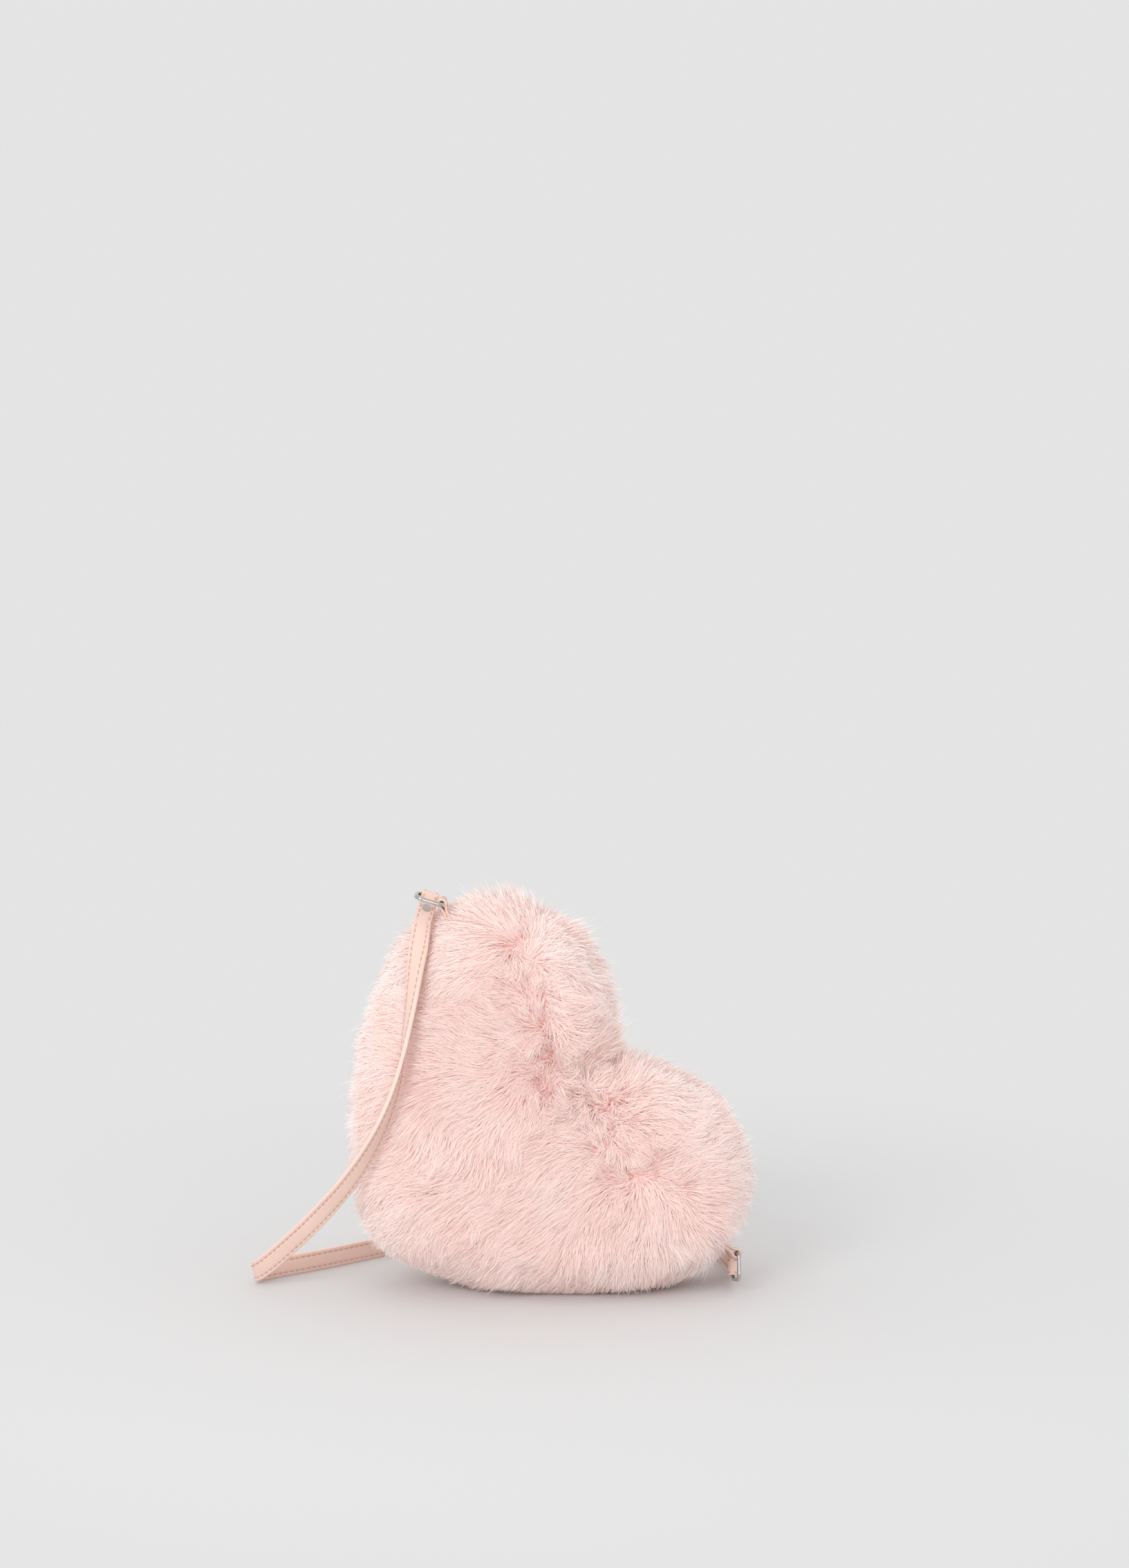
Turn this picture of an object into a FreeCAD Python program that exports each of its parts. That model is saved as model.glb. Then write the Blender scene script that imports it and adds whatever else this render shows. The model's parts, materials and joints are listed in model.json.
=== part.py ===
"""Heart shaped faux-fur purse, standing on its right flank, as a parametric document (mm).

Frame: +Z up, the front of the heart faces -Y, the floor is the plane z = 0.
The heart is drawn upright and then turned by stand_angle about Y, the way it stands.
"""
import FreeCAD, Part
import math
import os
import Sketcher

Vector = FreeCAD.Vector
Rotation = FreeCAD.Rotation
Placement = FreeCAD.Placement

os.makedirs("parts", exist_ok=True)
doc = FreeCAD.newDocument("heart_purse")

# Driving dimensions, in millimetres and degrees
DIMENSIONS = [
    ("lobe_lap", 2.0, "each lobe's round past the heart's axis"),
    ("lobe_height", 96.0, "lobe centre above the heart's point"),
    ("lobe_radius", 46.0, "round of each lobe"),
    ("flank_radius", 160.0, "gentle bow of each flank"),
    ("tip_radius", 32.0, "rounded point"),
    ("notch_radius", 5.0, "rounded notch between the lobes"),
    ("body_depth", 60.0, "front to back over the pressed fur"),
    ("rim_flat", 1.0, "flat of the rim, each side of the middle plane"),
    ("stand_angle", 50.0, "turn of the heart onto its right flank"),
    ("floor_sink", 6.0, "how far its weight flattens the flank"),
    ("fur_thickness", 6.0, "fur backing with its pressed pile"),
    ("parting_depth", 2.4, "valley where the pile parts, front and back"),
    ("parting_round", 8.0, "round of that valley"),
    ("layer_gap", 0.3, "air between two cloth layers"),
    ("wadding_thickness", 3.0, "soft filling"),
    ("lining_thickness", 1.0, "pocket lining"),
    ("gusset_width", 24.0, "band between the two heart panels"),
    ("cut_size", 400.0, "size of every trimming block"),
    ("slot_width", 10.0, "zip opening in the gusset"),
    ("slot_start", 40.0, "zip opening, angle at its notch end"),
    ("slot_end", 148.0, "zip opening, angle at its ring end"),
    ("tape_thickness", 0.8, "zip tape"),
    ("tape_seam", 4.0, "tape sewn under the fur beside the slot"),
    ("tape_run_on", 1.5, "tape beyond the slot, in degrees"),
    ("tape_edge", 1.4, "tape's free edge from the middle of the zip"),
    ("tooth_pitch", 2.4, "zip tooth to tooth along one tape"),
    ("tooth_length", 0.9, "tooth along the zip"),
    ("tooth_height", 2.0, "tooth through the tape"),
    ("tooth_lap", 0.9, "tooth past the middle of the zip"),
    ("teeth_start", 56.0, "first tooth, angle at the notch end"),
    ("stop_gap", 0.4, "air between the teeth and a stop"),
    ("stop_length", 1.6, "end stop along the zip"),
    ("slider_room", 7.545, "closed slider from the ring end of the opening"),
    ("slider_length", 9.0, "slider along the zip"),
    ("slider_width", 6.8, "slider across the zip"),
    ("slider_plate", 1.0, "thickness of each slider plate"),
    ("slider_clearance", 0.6, "slider plate to teeth"),
    ("slider_post", 1.6, "post that joins the two plates"),
    ("ear_length", 2.6, "slider ear along the zip"),
    ("ear_thickness", 0.9, "slider ear across the zip"),
    ("ear_height", 3.0, "slider ear above its plate"),
    ("pin_diameter", 1.2, "pin between the slider's ears"),
    ("pull_bore_clearance", 0.08, "pull's eye round the pin"),
    ("pull_eye", 2.8, "outer diameter of the pull's eye"),
    ("pull_length", 13.0, "pull from pin to end"),
    ("pull_width", 3.6, "pull across"),
    ("pull_thickness", 1.2, "pull tab"),
    ("pull_round", 1.2, "rounded corners of the pull's end"),
    ("pull_slant", 6.0, "pull's rise above the slider, in degrees"),
    ("wire_diameter", 1.6, "D-ring wire"),
    ("ring_length", 10.4, "D-ring from bar to far side, wire centres"),
    ("ring_width", 12.2, "D-ring between its legs, wire centres"),
    ("ring_near_round", 1.4, "D-ring corners beside the bar"),
    ("ring_far_round", 2.6, "D-ring corners at the far side"),
    ("ring_stand_off", 4.0, "D-ring bar outside the pressed fur"),
    ("ring_forward", 8.0, "D-ring in front of the middle plane"),
    ("left_tab_angle", 73.0, "left tab from the heart's axis"),
    ("right_tab_angle", 75.0, "right tab from the heart's axis"),
    ("left_droop", 50.0, "left ring turned down from its tab"),
    ("right_droop", 56.0, "right ring turned down from its tab"),
    ("right_twist", -16.0, "right tab twisted about its own length"),
    ("tab_width", 6.4, "leather tab"),
    ("tab_ply", 1.1, "one ply of the tab"),
    ("tab_clearance", 0.3, "tab to the fur beside it"),
    ("eye_clearance", 0.25, "leather round a ring's wire"),
    ("strap_width", 8.0, "strap"),
    ("strap_thickness", 1.8, "strap, two plies sewn together"),
    ("strap_end_width", 7.0, "strap where it goes round a ring"),
    ("strap_ply", 1.0, "one ply of the folded strap end"),
    ("strap_fold", 14.0, "folded strap end, from the ring's wire"),
    ("left_lean", 50.0, "left strap end leans forward"),
    ("right_lean", -78.0, "right strap end leans backward"),
    ("rivet_from_wire", 7.2, "rivet from the ring's wire"),
    ("rivet_cap", 3.8, "domed rivet cap"),
    ("rivet_dome", 1.1, "height of the dome"),
    ("rivet_back", 3.4, "rivet's back plate"),
    ("rivet_back_thickness", 0.6, "rivet's back plate"),
    ("rivet_shank", 1.5, "rivet shank"),
    ("rivet_clearance", 0.05, "shank in the leather and in the back plate"),
]
# Dimensions that follow from those
FOLLOWING = [
    ("lobe_offset", "=lobe_radius - lobe_lap", "lobe centre from the heart's axis"),
    ("edge_radius", "=body_depth / 2 - rim_flat", "puffed edge of the front and back"),
]

sheet = doc.addObject("Spreadsheet::Sheet", "Dimensions")
for index, (alias, value, meaning) in enumerate(DIMENSIONS + FOLLOWING, start=1):
    sheet.set("A%d" % index, meaning)
    sheet.set("B%d" % index, str(value))
    sheet.setAlias("B%d" % index, alias)
doc.recompute()


def size(alias):
    """A driving dimension, as the sheet holds it."""
    return float(sheet.get(alias))


def from_sheet(text):
    """An expression in which each bare word is an alias of the sheet."""
    words = []
    for word in text.split():
        words.append("Dimensions." + word if word[0].isalpha() else word)
    return " ".join(words)


def bind(obj, **expressions):
    """Bind an object's sizes to the sheet."""
    for prop, text in expressions.items():
        obj.setExpression(prop, from_sheet(text))


# Places that follow from the outline
def flank_centre():
    """Centre of the right flank's arc, tangent inside the right lobe and the point."""
    lobe = Vector(size("lobe_offset"), size("lobe_height"), 0)
    tip = Vector(0, size("tip_radius"), 0)
    to_lobe = size("flank_radius") - size("lobe_radius")
    to_tip = size("flank_radius") - size("tip_radius")
    span = tip - lobe
    along = (to_lobe ** 2 - to_tip ** 2 + span.Length ** 2) / (2 * span.Length)
    aside = math.sqrt(to_lobe ** 2 - along ** 2)
    unit = span / span.Length
    return lobe + unit * along + Vector(unit.y, -unit.x, 0) * aside


def notch_height():
    """Height of the notch arc's centre, tangent outside both lobes."""
    reach = size("lobe_radius") + size("notch_radius")
    return size("lobe_height") + math.sqrt(reach ** 2 - size("lobe_offset") ** 2)


def turned(u, v):
    """A point of the upright heart (u across, v up) after the turn, as x and z."""
    turn = math.radians(size("stand_angle"))
    x = u * math.cos(turn) + v * math.sin(turn)
    z = v * math.cos(turn) - u * math.sin(turn)
    return x, z


FLANK = flank_centre()
lowest = turned(FLANK.x, FLANK.y)[1] - size("flank_radius")
leftmost = turned(-FLANK.x, FLANK.y)[0] - size("flank_radius")
rightmost = turned(size("lobe_offset"), size("lobe_height"))[0] + size("lobe_radius")
STAND = Placement(
    Vector(-(leftmost + rightmost) / 2, 0, -lowest - size("floor_sink")),
    Rotation(Vector(0, 1, 0), size("stand_angle")),
)


def lobe_centre(side):
    """Lobe centre in the standing frame: side is -1 for the left lobe, 1 for the right."""
    return STAND.multVec(Vector(side * size("lobe_offset"), 0, size("lobe_height")))


def lobe_direction(heart_angle):
    """Unit direction out of a lobe, at an angle from the upright heart's own width axis."""
    angle = math.radians(heart_angle)
    return STAND.Rotation.multVec(Vector(math.cos(angle), 0, math.sin(angle)))


def frame(origin, x_axis, z_axis):
    """Placement with its own x and z axes."""
    y_axis = z_axis.cross(x_axis)
    return Placement(origin, Rotation(x_axis, y_axis, z_axis, "ZXY"))


# Primitive helpers
def add(kind, name, placement=None, **expressions):
    obj = doc.addObject(kind, name)
    bind(obj, **expressions)
    if placement is not None:
        obj.Placement = placement
    return obj


def cut(name, base, tool):
    obj = doc.addObject("Part::Cut", name)
    obj.Base = base
    obj.Tool = tool
    return obj


def common(name, base, tool):
    obj = doc.addObject("Part::Common", name)
    obj.Base = base
    obj.Tool = tool
    return obj


def fuse(name, *shapes):
    obj = doc.addObject("Part::MultiFuse", name)
    obj.Shapes = list(shapes)
    return obj


def compound(name, shapes):
    obj = doc.addObject("Part::Compound", name)
    obj.Links = list(shapes)
    return obj


def round_corners(name, base, radius, chosen):
    """Round the upright edges of a block for which chosen is true."""
    doc.recompute()
    edges = []
    for number, edge in enumerate(base.Shape.Edges, start=1):
        if edge.BoundBox.ZLength > Part.Precision.confusion() and chosen(edge):
            edges.append((number, radius, radius))
    obj = doc.addObject("Part::Fillet", name)
    obj.Base = base
    obj.Edges = edges
    return obj


def at(x, y, z):
    return Placement(Vector(x, y, z), Rotation())


def along_y(x, y, z):
    """A place for a cylinder that runs towards +y."""
    return Placement(Vector(x, y, z), Rotation(Vector(1, 0, 0), -90))


def origin_plane(body, role):
    return next(plane for plane in body.Origin.OriginFeatures if plane.Role == role)


def new_sketch(body, name, role):
    sketch = body.newObject("Sketcher::SketchObject", name)
    sketch.AttachmentSupport = [(origin_plane(body, role), "")]
    sketch.MapMode = "FlatFace"
    return sketch


def dimension(sketch, kind, text, *where):
    """A driving constraint whose value comes from the sheet."""
    expression = from_sheet(text)
    value = sketch.evalExpression(expression)
    index = sketch.addConstraint(Sketcher.Constraint(kind, *where, value))
    sketch.setExpression("Constraints[%d]" % index, expression)


# The heart's outline and the padded body made from it
START, END, CENTRE = range(1, 4)
AXIS_GEOMETRY, VERTICAL_AXIS = range(-1, -3, -1)


def heart_arcs(inset):
    """Centre, radius and angles of the six tangent arcs, at an inset from the outside."""
    lobe = Vector(size("lobe_offset"), size("lobe_height"), 0)
    tip = Vector(0, size("tip_radius"), 0)
    notch = Vector(0, notch_height(), 0)
    to_notch = math.atan2(notch.y - lobe.y, notch.x - lobe.x)
    from_flank = math.atan2(lobe.y - FLANK.y, lobe.x - FLANK.x)
    to_tip = math.atan2(tip.y - FLANK.y, tip.x - FLANK.x)
    left_flank = Vector(-FLANK.x, FLANK.y, 0)
    left_lobe = Vector(-lobe.x, lobe.y, 0)
    half_turn = math.pi
    return [
        (lobe, size("lobe_radius") - inset, from_flank, to_notch),
        (notch, size("notch_radius") + inset, 2 * half_turn - to_notch, to_notch + half_turn),
        (left_lobe, size("lobe_radius") - inset, half_turn - to_notch, half_turn - from_flank),
        (left_flank, size("flank_radius") - inset, half_turn - from_flank, half_turn - to_tip),
        (tip, size("tip_radius") - inset, half_turn - to_tip, 2 * half_turn + to_tip),
        (FLANK, size("flank_radius") - inset, to_tip, from_flank),
    ]


def heart_sketch(body, inset, inset_words):
    sketch = new_sketch(body, body.Name + "_outline", "XZ_Plane")
    lobe, notch, left_lobe, left_flank, tip, flank = range(6)
    normal = Vector(0, 0, 1)
    for centre, radius, first, last in heart_arcs(inset):
        circle = Part.Circle(centre, normal, radius)
        sketch.addGeometry(Part.ArcOfCircle(circle, first, last), False)
    joins = [
        (lobe, END, notch, END),
        (notch, START, left_lobe, START),
        (left_lobe, END, left_flank, START),
        (left_flank, END, tip, START),
        (tip, END, flank, START),
        (flank, END, lobe, START),
    ]
    for one, one_end, other, other_end in joins:
        sketch.addConstraint(Sketcher.Constraint("Tangent", one, one_end, other, other_end))
    sketch.addConstraint(Sketcher.Constraint("Equal", lobe, left_lobe))
    sketch.addConstraint(Sketcher.Constraint("Equal", flank, left_flank))
    sketch.addConstraint(
        Sketcher.Constraint("Symmetric", lobe, CENTRE, left_lobe, CENTRE, VERTICAL_AXIS)
    )
    sketch.addConstraint(Sketcher.Constraint("PointOnObject", tip, CENTRE, VERTICAL_AXIS))
    dimension(sketch, "Radius", "lobe_radius - " + inset_words, lobe)
    dimension(sketch, "Radius", "notch_radius + " + inset_words, notch)
    dimension(sketch, "Radius", "flank_radius - " + inset_words, flank)
    dimension(sketch, "Radius", "tip_radius - " + inset_words, tip)
    dimension(sketch, "DistanceX", "lobe_offset", AXIS_GEOMETRY, START, lobe, CENTRE)
    dimension(sketch, "DistanceY", "lobe_height", AXIS_GEOMETRY, START, lobe, CENTRE)
    dimension(sketch, "DistanceY", "tip_radius", AXIS_GEOMETRY, START, tip, CENTRE)
    return sketch


def heart_pillow(name, layers):
    """The padded heart at the depth of the named layers, cut flat where it stands."""
    inset = sum(size(layer) for layer in layers)
    inset_words = "( " + " + ".join(layers) + " )" if layers else "0"
    body = doc.addObject("PartDesign::Body", name)
    sketch = heart_sketch(body, inset, inset_words)
    doc.recompute()
    pad = body.newObject("PartDesign::Pad", name + "_pad")
    pad.Profile = sketch
    pad.Midplane = True
    bind(pad, Length="body_depth - 2 * " + inset_words)
    doc.recompute()
    rims = []
    for number, edge in enumerate(pad.Shape.Edges, start=1):
        if edge.BoundBox.YLength < Part.Precision.confusion():
            rims.append("Edge%d" % number)
    puff = body.newObject("PartDesign::Fillet", name + "_puff")
    puff.Base = (pad, rims)
    bind(puff, Radius="edge_radius - " + inset_words)
    body.Placement = STAND
    half = size("cut_size") / 2
    floor = add("Part::Box", name + "_floor", at(-half, -half, inset - size("cut_size")),
                Length="cut_size", Width="cut_size", Height="cut_size")
    return cut(name + "_standing", body, floor)


FUR_DEEP = ["fur_thickness"]
TAPE_OUT = FUR_DEEP + ["layer_gap"]
TAPE_IN = TAPE_OUT + ["tape_thickness"]
WADDING_OUT = TAPE_IN + ["layer_gap"]
WADDING_IN = WADDING_OUT + ["wadding_thickness"]
LINING_OUT = WADDING_IN + ["layer_gap"]
LINING_IN = LINING_OUT + ["lining_thickness"]


def depth_of(layers):
    return sum(size(layer) for layer in layers)


pillows = {}
for pillow_name, pillow_layers in (
    ("fur_outside", []), ("fur_inside", FUR_DEEP),
    ("tape_outside", TAPE_OUT), ("tape_inside", TAPE_IN),
    ("wadding_outside", WADDING_OUT), ("wadding_inside", WADDING_IN),
    ("lining_outside", LINING_OUT), ("lining_inside", LINING_IN),
):
    pillows[pillow_name] = heart_pillow(pillow_name, pillow_layers)


def band(name, thickness, first):
    """Block across the whole part, one panel or the gusset thick, from y = first."""
    half = size("cut_size") / 2
    return add("Part::Box", name, at(-half, first, -half),
               Length="cut_size", Width=thickness, Height="cut_size")


def pie(name, start, end, near, far):
    """Sector round the left lobe's centre, between two heart angles and two depths."""
    obj = doc.addObject("Part::Cylinder", name)
    obj.Radius = size("cut_size") / 2
    obj.Height = far - near
    obj.Angle = end - start
    obj.Placement = frame(
        lobe_centre(-1) + Vector(0, far, 0), lobe_direction(start), Vector(0, -1, 0)
    )
    return obj


half_gusset = size("gusset_width") / 2
half_slot = size("slot_width") / 2
subparts = {}


def publish(label, obj):
    obj.Label = label
    subparts[label] = obj


# Tabs and rings share these places
def ring_frame(side):
    """Bar centre, outward direction, bar axis and ring direction of one D-ring."""
    if side < 0:
        heart_angle = 90 + size("left_tab_angle")
        twist, droop = 0, -size("left_droop")
    else:
        heart_angle = 90 - size("right_tab_angle")
        twist, droop = size("right_twist"), size("right_droop")
    out = lobe_direction(heart_angle)
    bar = Rotation(out, twist).multVec(Vector(0, 1, 0))
    direction = Rotation(bar, droop).multVec(out)
    centre = lobe_centre(side) + out * (size("lobe_radius") + size("ring_stand_off"))
    centre = centre - Vector(0, size("ring_forward"), 0)
    return centre, out, bar, direction


SIDES = (("left", -1), ("right", 1))


def tab_hole(name, side):
    """Block that clears a tab's straight stem, from the wadding out to the ring's bar."""
    centre, out, bar, _ = ring_frame(side)
    thick = 2 * (size("tab_ply") + size("tab_clearance"))
    wide = size("tab_width") + 2 * size("tab_clearance")
    high = size("ring_stand_off") + depth_of(TAPE_IN)
    across = bar.cross(out)
    corner = centre - out * high - bar * (wide / 2) - across * (thick / 2)
    return add(
        "Part::Box", name, frame(corner, across, out),
        Length="2 * ( tab_ply + tab_clearance )", Width="tab_width + 2 * tab_clearance",
        Height="ring_stand_off + " + " + ".join(TAPE_IN),
    )


# Valley where the pile parts, from lobe to lobe
# Shares of lobe_offset across, lobe_height up and parting_depth; it runs out above the fur
PARTING_SHARES = [
    (-1.32, 1.33, -0.4), (-1.05, 1.25, 0.7), (-0.78, 1.16, 1.0), (-0.36, 1.05, 1.0),
    (0.00, 1.08, 1.0), (0.32, 1.11, 1.0), (0.64, 1.08, 0.7), (1.00, 1.08, -0.4),
]


def surface_depth(u, v):
    """How far the pressed fur stands from the middle plane, at a point of the upright heart."""
    spot = Part.Vertex(u, v, 0)
    inward = []
    for centre, radius, first, last in heart_arcs(0):
        circle = Part.Circle(centre, Vector(0, 0, 1), radius)
        inward.append(spot.distToShape(Part.ArcOfCircle(circle, first, last).toShape())[0])
    short = max(size("edge_radius") - min(inward), 0)
    return size("rim_flat") + math.sqrt(size("edge_radius") ** 2 - short ** 2)


def parting(name, side):
    """Round bar that presses the valley into a panel: side is -1 at the front."""
    places = []
    for across, up, deep in PARTING_SHARES:
        u, v = across * size("lobe_offset"), up * size("lobe_height")
        stand_off = size("parting_round") - deep * size("parting_depth")
        places.append(STAND.multVec(Vector(u, side * (surface_depth(u, v) + stand_off), v)))
    line = Part.BSplineCurve()
    line.interpolate(places)
    heading = line.tangent(line.FirstParameter)[0]
    section = Part.Circle(places[0], heading, size("parting_round"))
    bar = doc.addObject("Part::Feature", name)
    bar.Shape = Part.Wire(line.toShape()).makePipeShell([Part.Wire(section.toShape())], True, False)
    return bar


# Fur panels, wadding and lining
def layer_nodes(outside, inside, front, middle, back, furry):
    shell = cut(outside + "_shell", pillows[outside], pillows[inside])
    reach = size("cut_size") / 2
    blocks = (
        (front, -half_gusset - reach, "cut_size / 2"),
        (middle, -half_gusset, "gusset_width"),
        (back, half_gusset, "cut_size / 2"),
    )
    for label, first, words in blocks:
        piece = common(label + "_panel", shell, band(label + "_block", words, first))
        if label == middle:
            slot = pie(label + "_slot", size("slot_start"), size("slot_end"), -half_slot, half_slot)
            piece = cut(label + "_slotted", piece, slot)
            if furry:
                for name, side in SIDES:
                    hole = tab_hole(label + "_hole_" + name, side)
                    piece = cut(label + "_" + name, piece, hole)
        elif furry:
            side = -1 if label == front else 1
            piece = cut(label + "_parted", piece, parting(label + "_parting", side))
        publish(label, piece)


layer_nodes("fur_outside", "fur_inside",
            "front_fur_panel", "fur_gusset", "back_fur_panel", True)
layer_nodes("wadding_outside", "wadding_inside",
            "front_wadding", "gusset_wadding", "back_wadding", False)
layer_nodes("lining_outside", "lining_inside",
            "front_lining", "gusset_lining", "back_lining", False)

# Zip tapes, sewn between the fur and the wadding
tape_shell = cut("tape_shell", pillows["tape_outside"], pillows["tape_inside"])
tape_reach = half_slot + size("tape_seam")
tape_from = size("slot_start") - size("tape_run_on")
tape_to = size("slot_end") + size("tape_run_on")
publish("zip_tape_front", common(
    "tape_front", tape_shell,
    pie("tape_front_sector", tape_from, tape_to, -tape_reach, -size("tape_edge"))))
publish("zip_tape_back", common(
    "tape_back", tape_shell,
    pie("tape_back_sector", tape_from, tape_to, size("tape_edge"), tape_reach)))

# Zip teeth and stops stand on the middle of the tape
zip_radius = size("lobe_radius") - depth_of(TAPE_OUT) - size("tape_thickness") / 2


def zip_frame(heart_angle):
    """Frame on the zip's line: x along the closing way, y to the front, z outward."""
    out = lobe_direction(heart_angle)
    along = Vector(0, -1, 0).cross(out)
    return frame(lobe_centre(-1) + out * zip_radius, along, out)


half_tooth = size("tooth_height") / 2
degrees_per_mm = math.degrees(1 / zip_radius)
slider_angle = size("slot_end") - size("slider_room") * degrees_per_mm
teeth_end = slider_angle + size("slider_post") * degrees_per_mm
tooth_count = int((teeth_end - size("teeth_start")) / (size("tooth_pitch") * degrees_per_mm))


def zip_block(name, heart_angle, length, y, width):
    """Block through the tape, centred along the zip at an angle; length and width are words."""
    corner = at(-size(length) / 2, y, -half_tooth)
    return add("Part::Box", name, zip_frame(heart_angle).multiply(corner),
               Length=length, Width=width, Height="tooth_height")


def teeth_row(label, y, shift):
    """One row of teeth from the depth y, shifted along the zip by part of the pitch."""
    teeth = []
    for number in range(tooth_count):
        angle = size("teeth_start") + (number * size("tooth_pitch") + shift) * degrees_per_mm
        teeth.append(zip_block("%s_%d" % (label, number), angle, "tooth_length", y,
                               "tape_edge + tooth_lap"))
    publish(label, compound(label + "_row", teeth))


teeth_row("zip_teeth_front", -size("tooth_lap"), 0)
teeth_row("zip_teeth_back", -size("tape_edge"), size("tooth_pitch") / 2)

stop_step = size("tooth_length") / 2 + size("stop_gap") + size("stop_length") / 2
bottom_angle = size("teeth_start") - stop_step * degrees_per_mm
publish("zip_bottom_stop", zip_block(
    "bottom_stop", bottom_angle, "stop_length", -size("tape_edge"), "2 * tape_edge"))
top_step = size("slider_length") / 2 + size("stop_gap") + size("stop_length") / 2
top_angle = slider_angle + top_step * degrees_per_mm
publish("zip_top_stops", compound("top_stops", [
    zip_block("top_stop_front", top_angle, "stop_length", size("stop_gap"), "tape_edge - stop_gap"),
    zip_block("top_stop_back", top_angle, "stop_length", -size("tape_edge"), "tape_edge - stop_gap"),
]))

# Zip slider: two plates on a post, and two ears with the pull's pin
plate_low = half_tooth + size("slider_clearance")
plate_high = plate_low + size("slider_plate")
pin_high = plate_high + size("ear_height") - size("ear_length") / 2
half_slider = size("slider_width") / 2
half_slider_length = size("slider_length") / 2
slider_gap = "( tooth_height + 2 * slider_clearance )"
slider_plates = add(
    "Part::Box", "slider_plates", at(-half_slider_length, -half_slider, -plate_high),
    Length="slider_length", Width="slider_width", Height=slider_gap + " + 2 * slider_plate")
slider_channel = add(
    "Part::Box", "slider_channel", at(-half_slider_length, -half_slider, -plate_low),
    Length="slider_length", Width="slider_width", Height=slider_gap)
slider_rounded = round_corners(
    "slider_rounded", slider_plates, size("slider_plate"), lambda edge: True)
slider_pieces = [
    cut("slider_two_plates", slider_rounded, slider_channel),
    add("Part::Cylinder", "slider_post_piece",
        at(half_slider_length - size("slider_post"), 0, -plate_low),
        Radius="slider_post / 2", Height=slider_gap),
    add("Part::Cylinder", "slider_pin", along_y(0, -half_slider, pin_high),
        Radius="pin_diameter / 2", Height="slider_width"),
]
for ear_name, ear_near in (("front", half_slider - size("ear_thickness")), ("back", -half_slider)):
    slider_pieces.append(add(
        "Part::Box", "slider_ear_" + ear_name,
        at(-size("ear_length") / 2, ear_near, plate_high),
        Length="ear_length", Width="ear_thickness", Height="ear_height - ear_length / 2"))
    slider_pieces.append(add(
        "Part::Cylinder", "slider_crown_" + ear_name, along_y(0, ear_near, pin_high),
        Radius="ear_length / 2", Height="ear_thickness"))
slider = fuse("slider_whole", *slider_pieces)
slider.Placement = zip_frame(slider_angle)
publish("zip_slider", slider)

# Zip pull: a bored eye and a tab with a rounded end
half_pull = size("pull_width") / 2
pull_eye = add("Part::Cylinder", "pull_eye_piece", along_y(0, -half_pull, 0),
               Radius="pull_eye / 2", Height="pull_width")
pull_tab = add("Part::Box", "pull_tab_piece",
               at(-size("pull_length"), -half_pull, -size("pull_thickness") / 2),
               Length="pull_length", Width="pull_width", Height="pull_thickness")
pull_rounded = round_corners("pull_rounded", pull_tab, size("pull_round"),
                             lambda edge: edge.BoundBox.XMax < -size("pull_length") / 2)
pull_bore = add("Part::Cylinder", "pull_bore", along_y(0, -half_pull, 0),
                Radius="pin_diameter / 2 + pull_bore_clearance", Height="pull_width")
pull = cut("pull_whole", fuse("pull_blank", pull_eye, pull_rounded), pull_bore)
pull_frame = zip_frame(slider_angle).multiply(
    Placement(Vector(0, 0, pin_high), Rotation(Vector(0, 1, 0), size("pull_slant"))))
pull.Placement = pull_frame
publish("zip_pull", pull)


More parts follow.
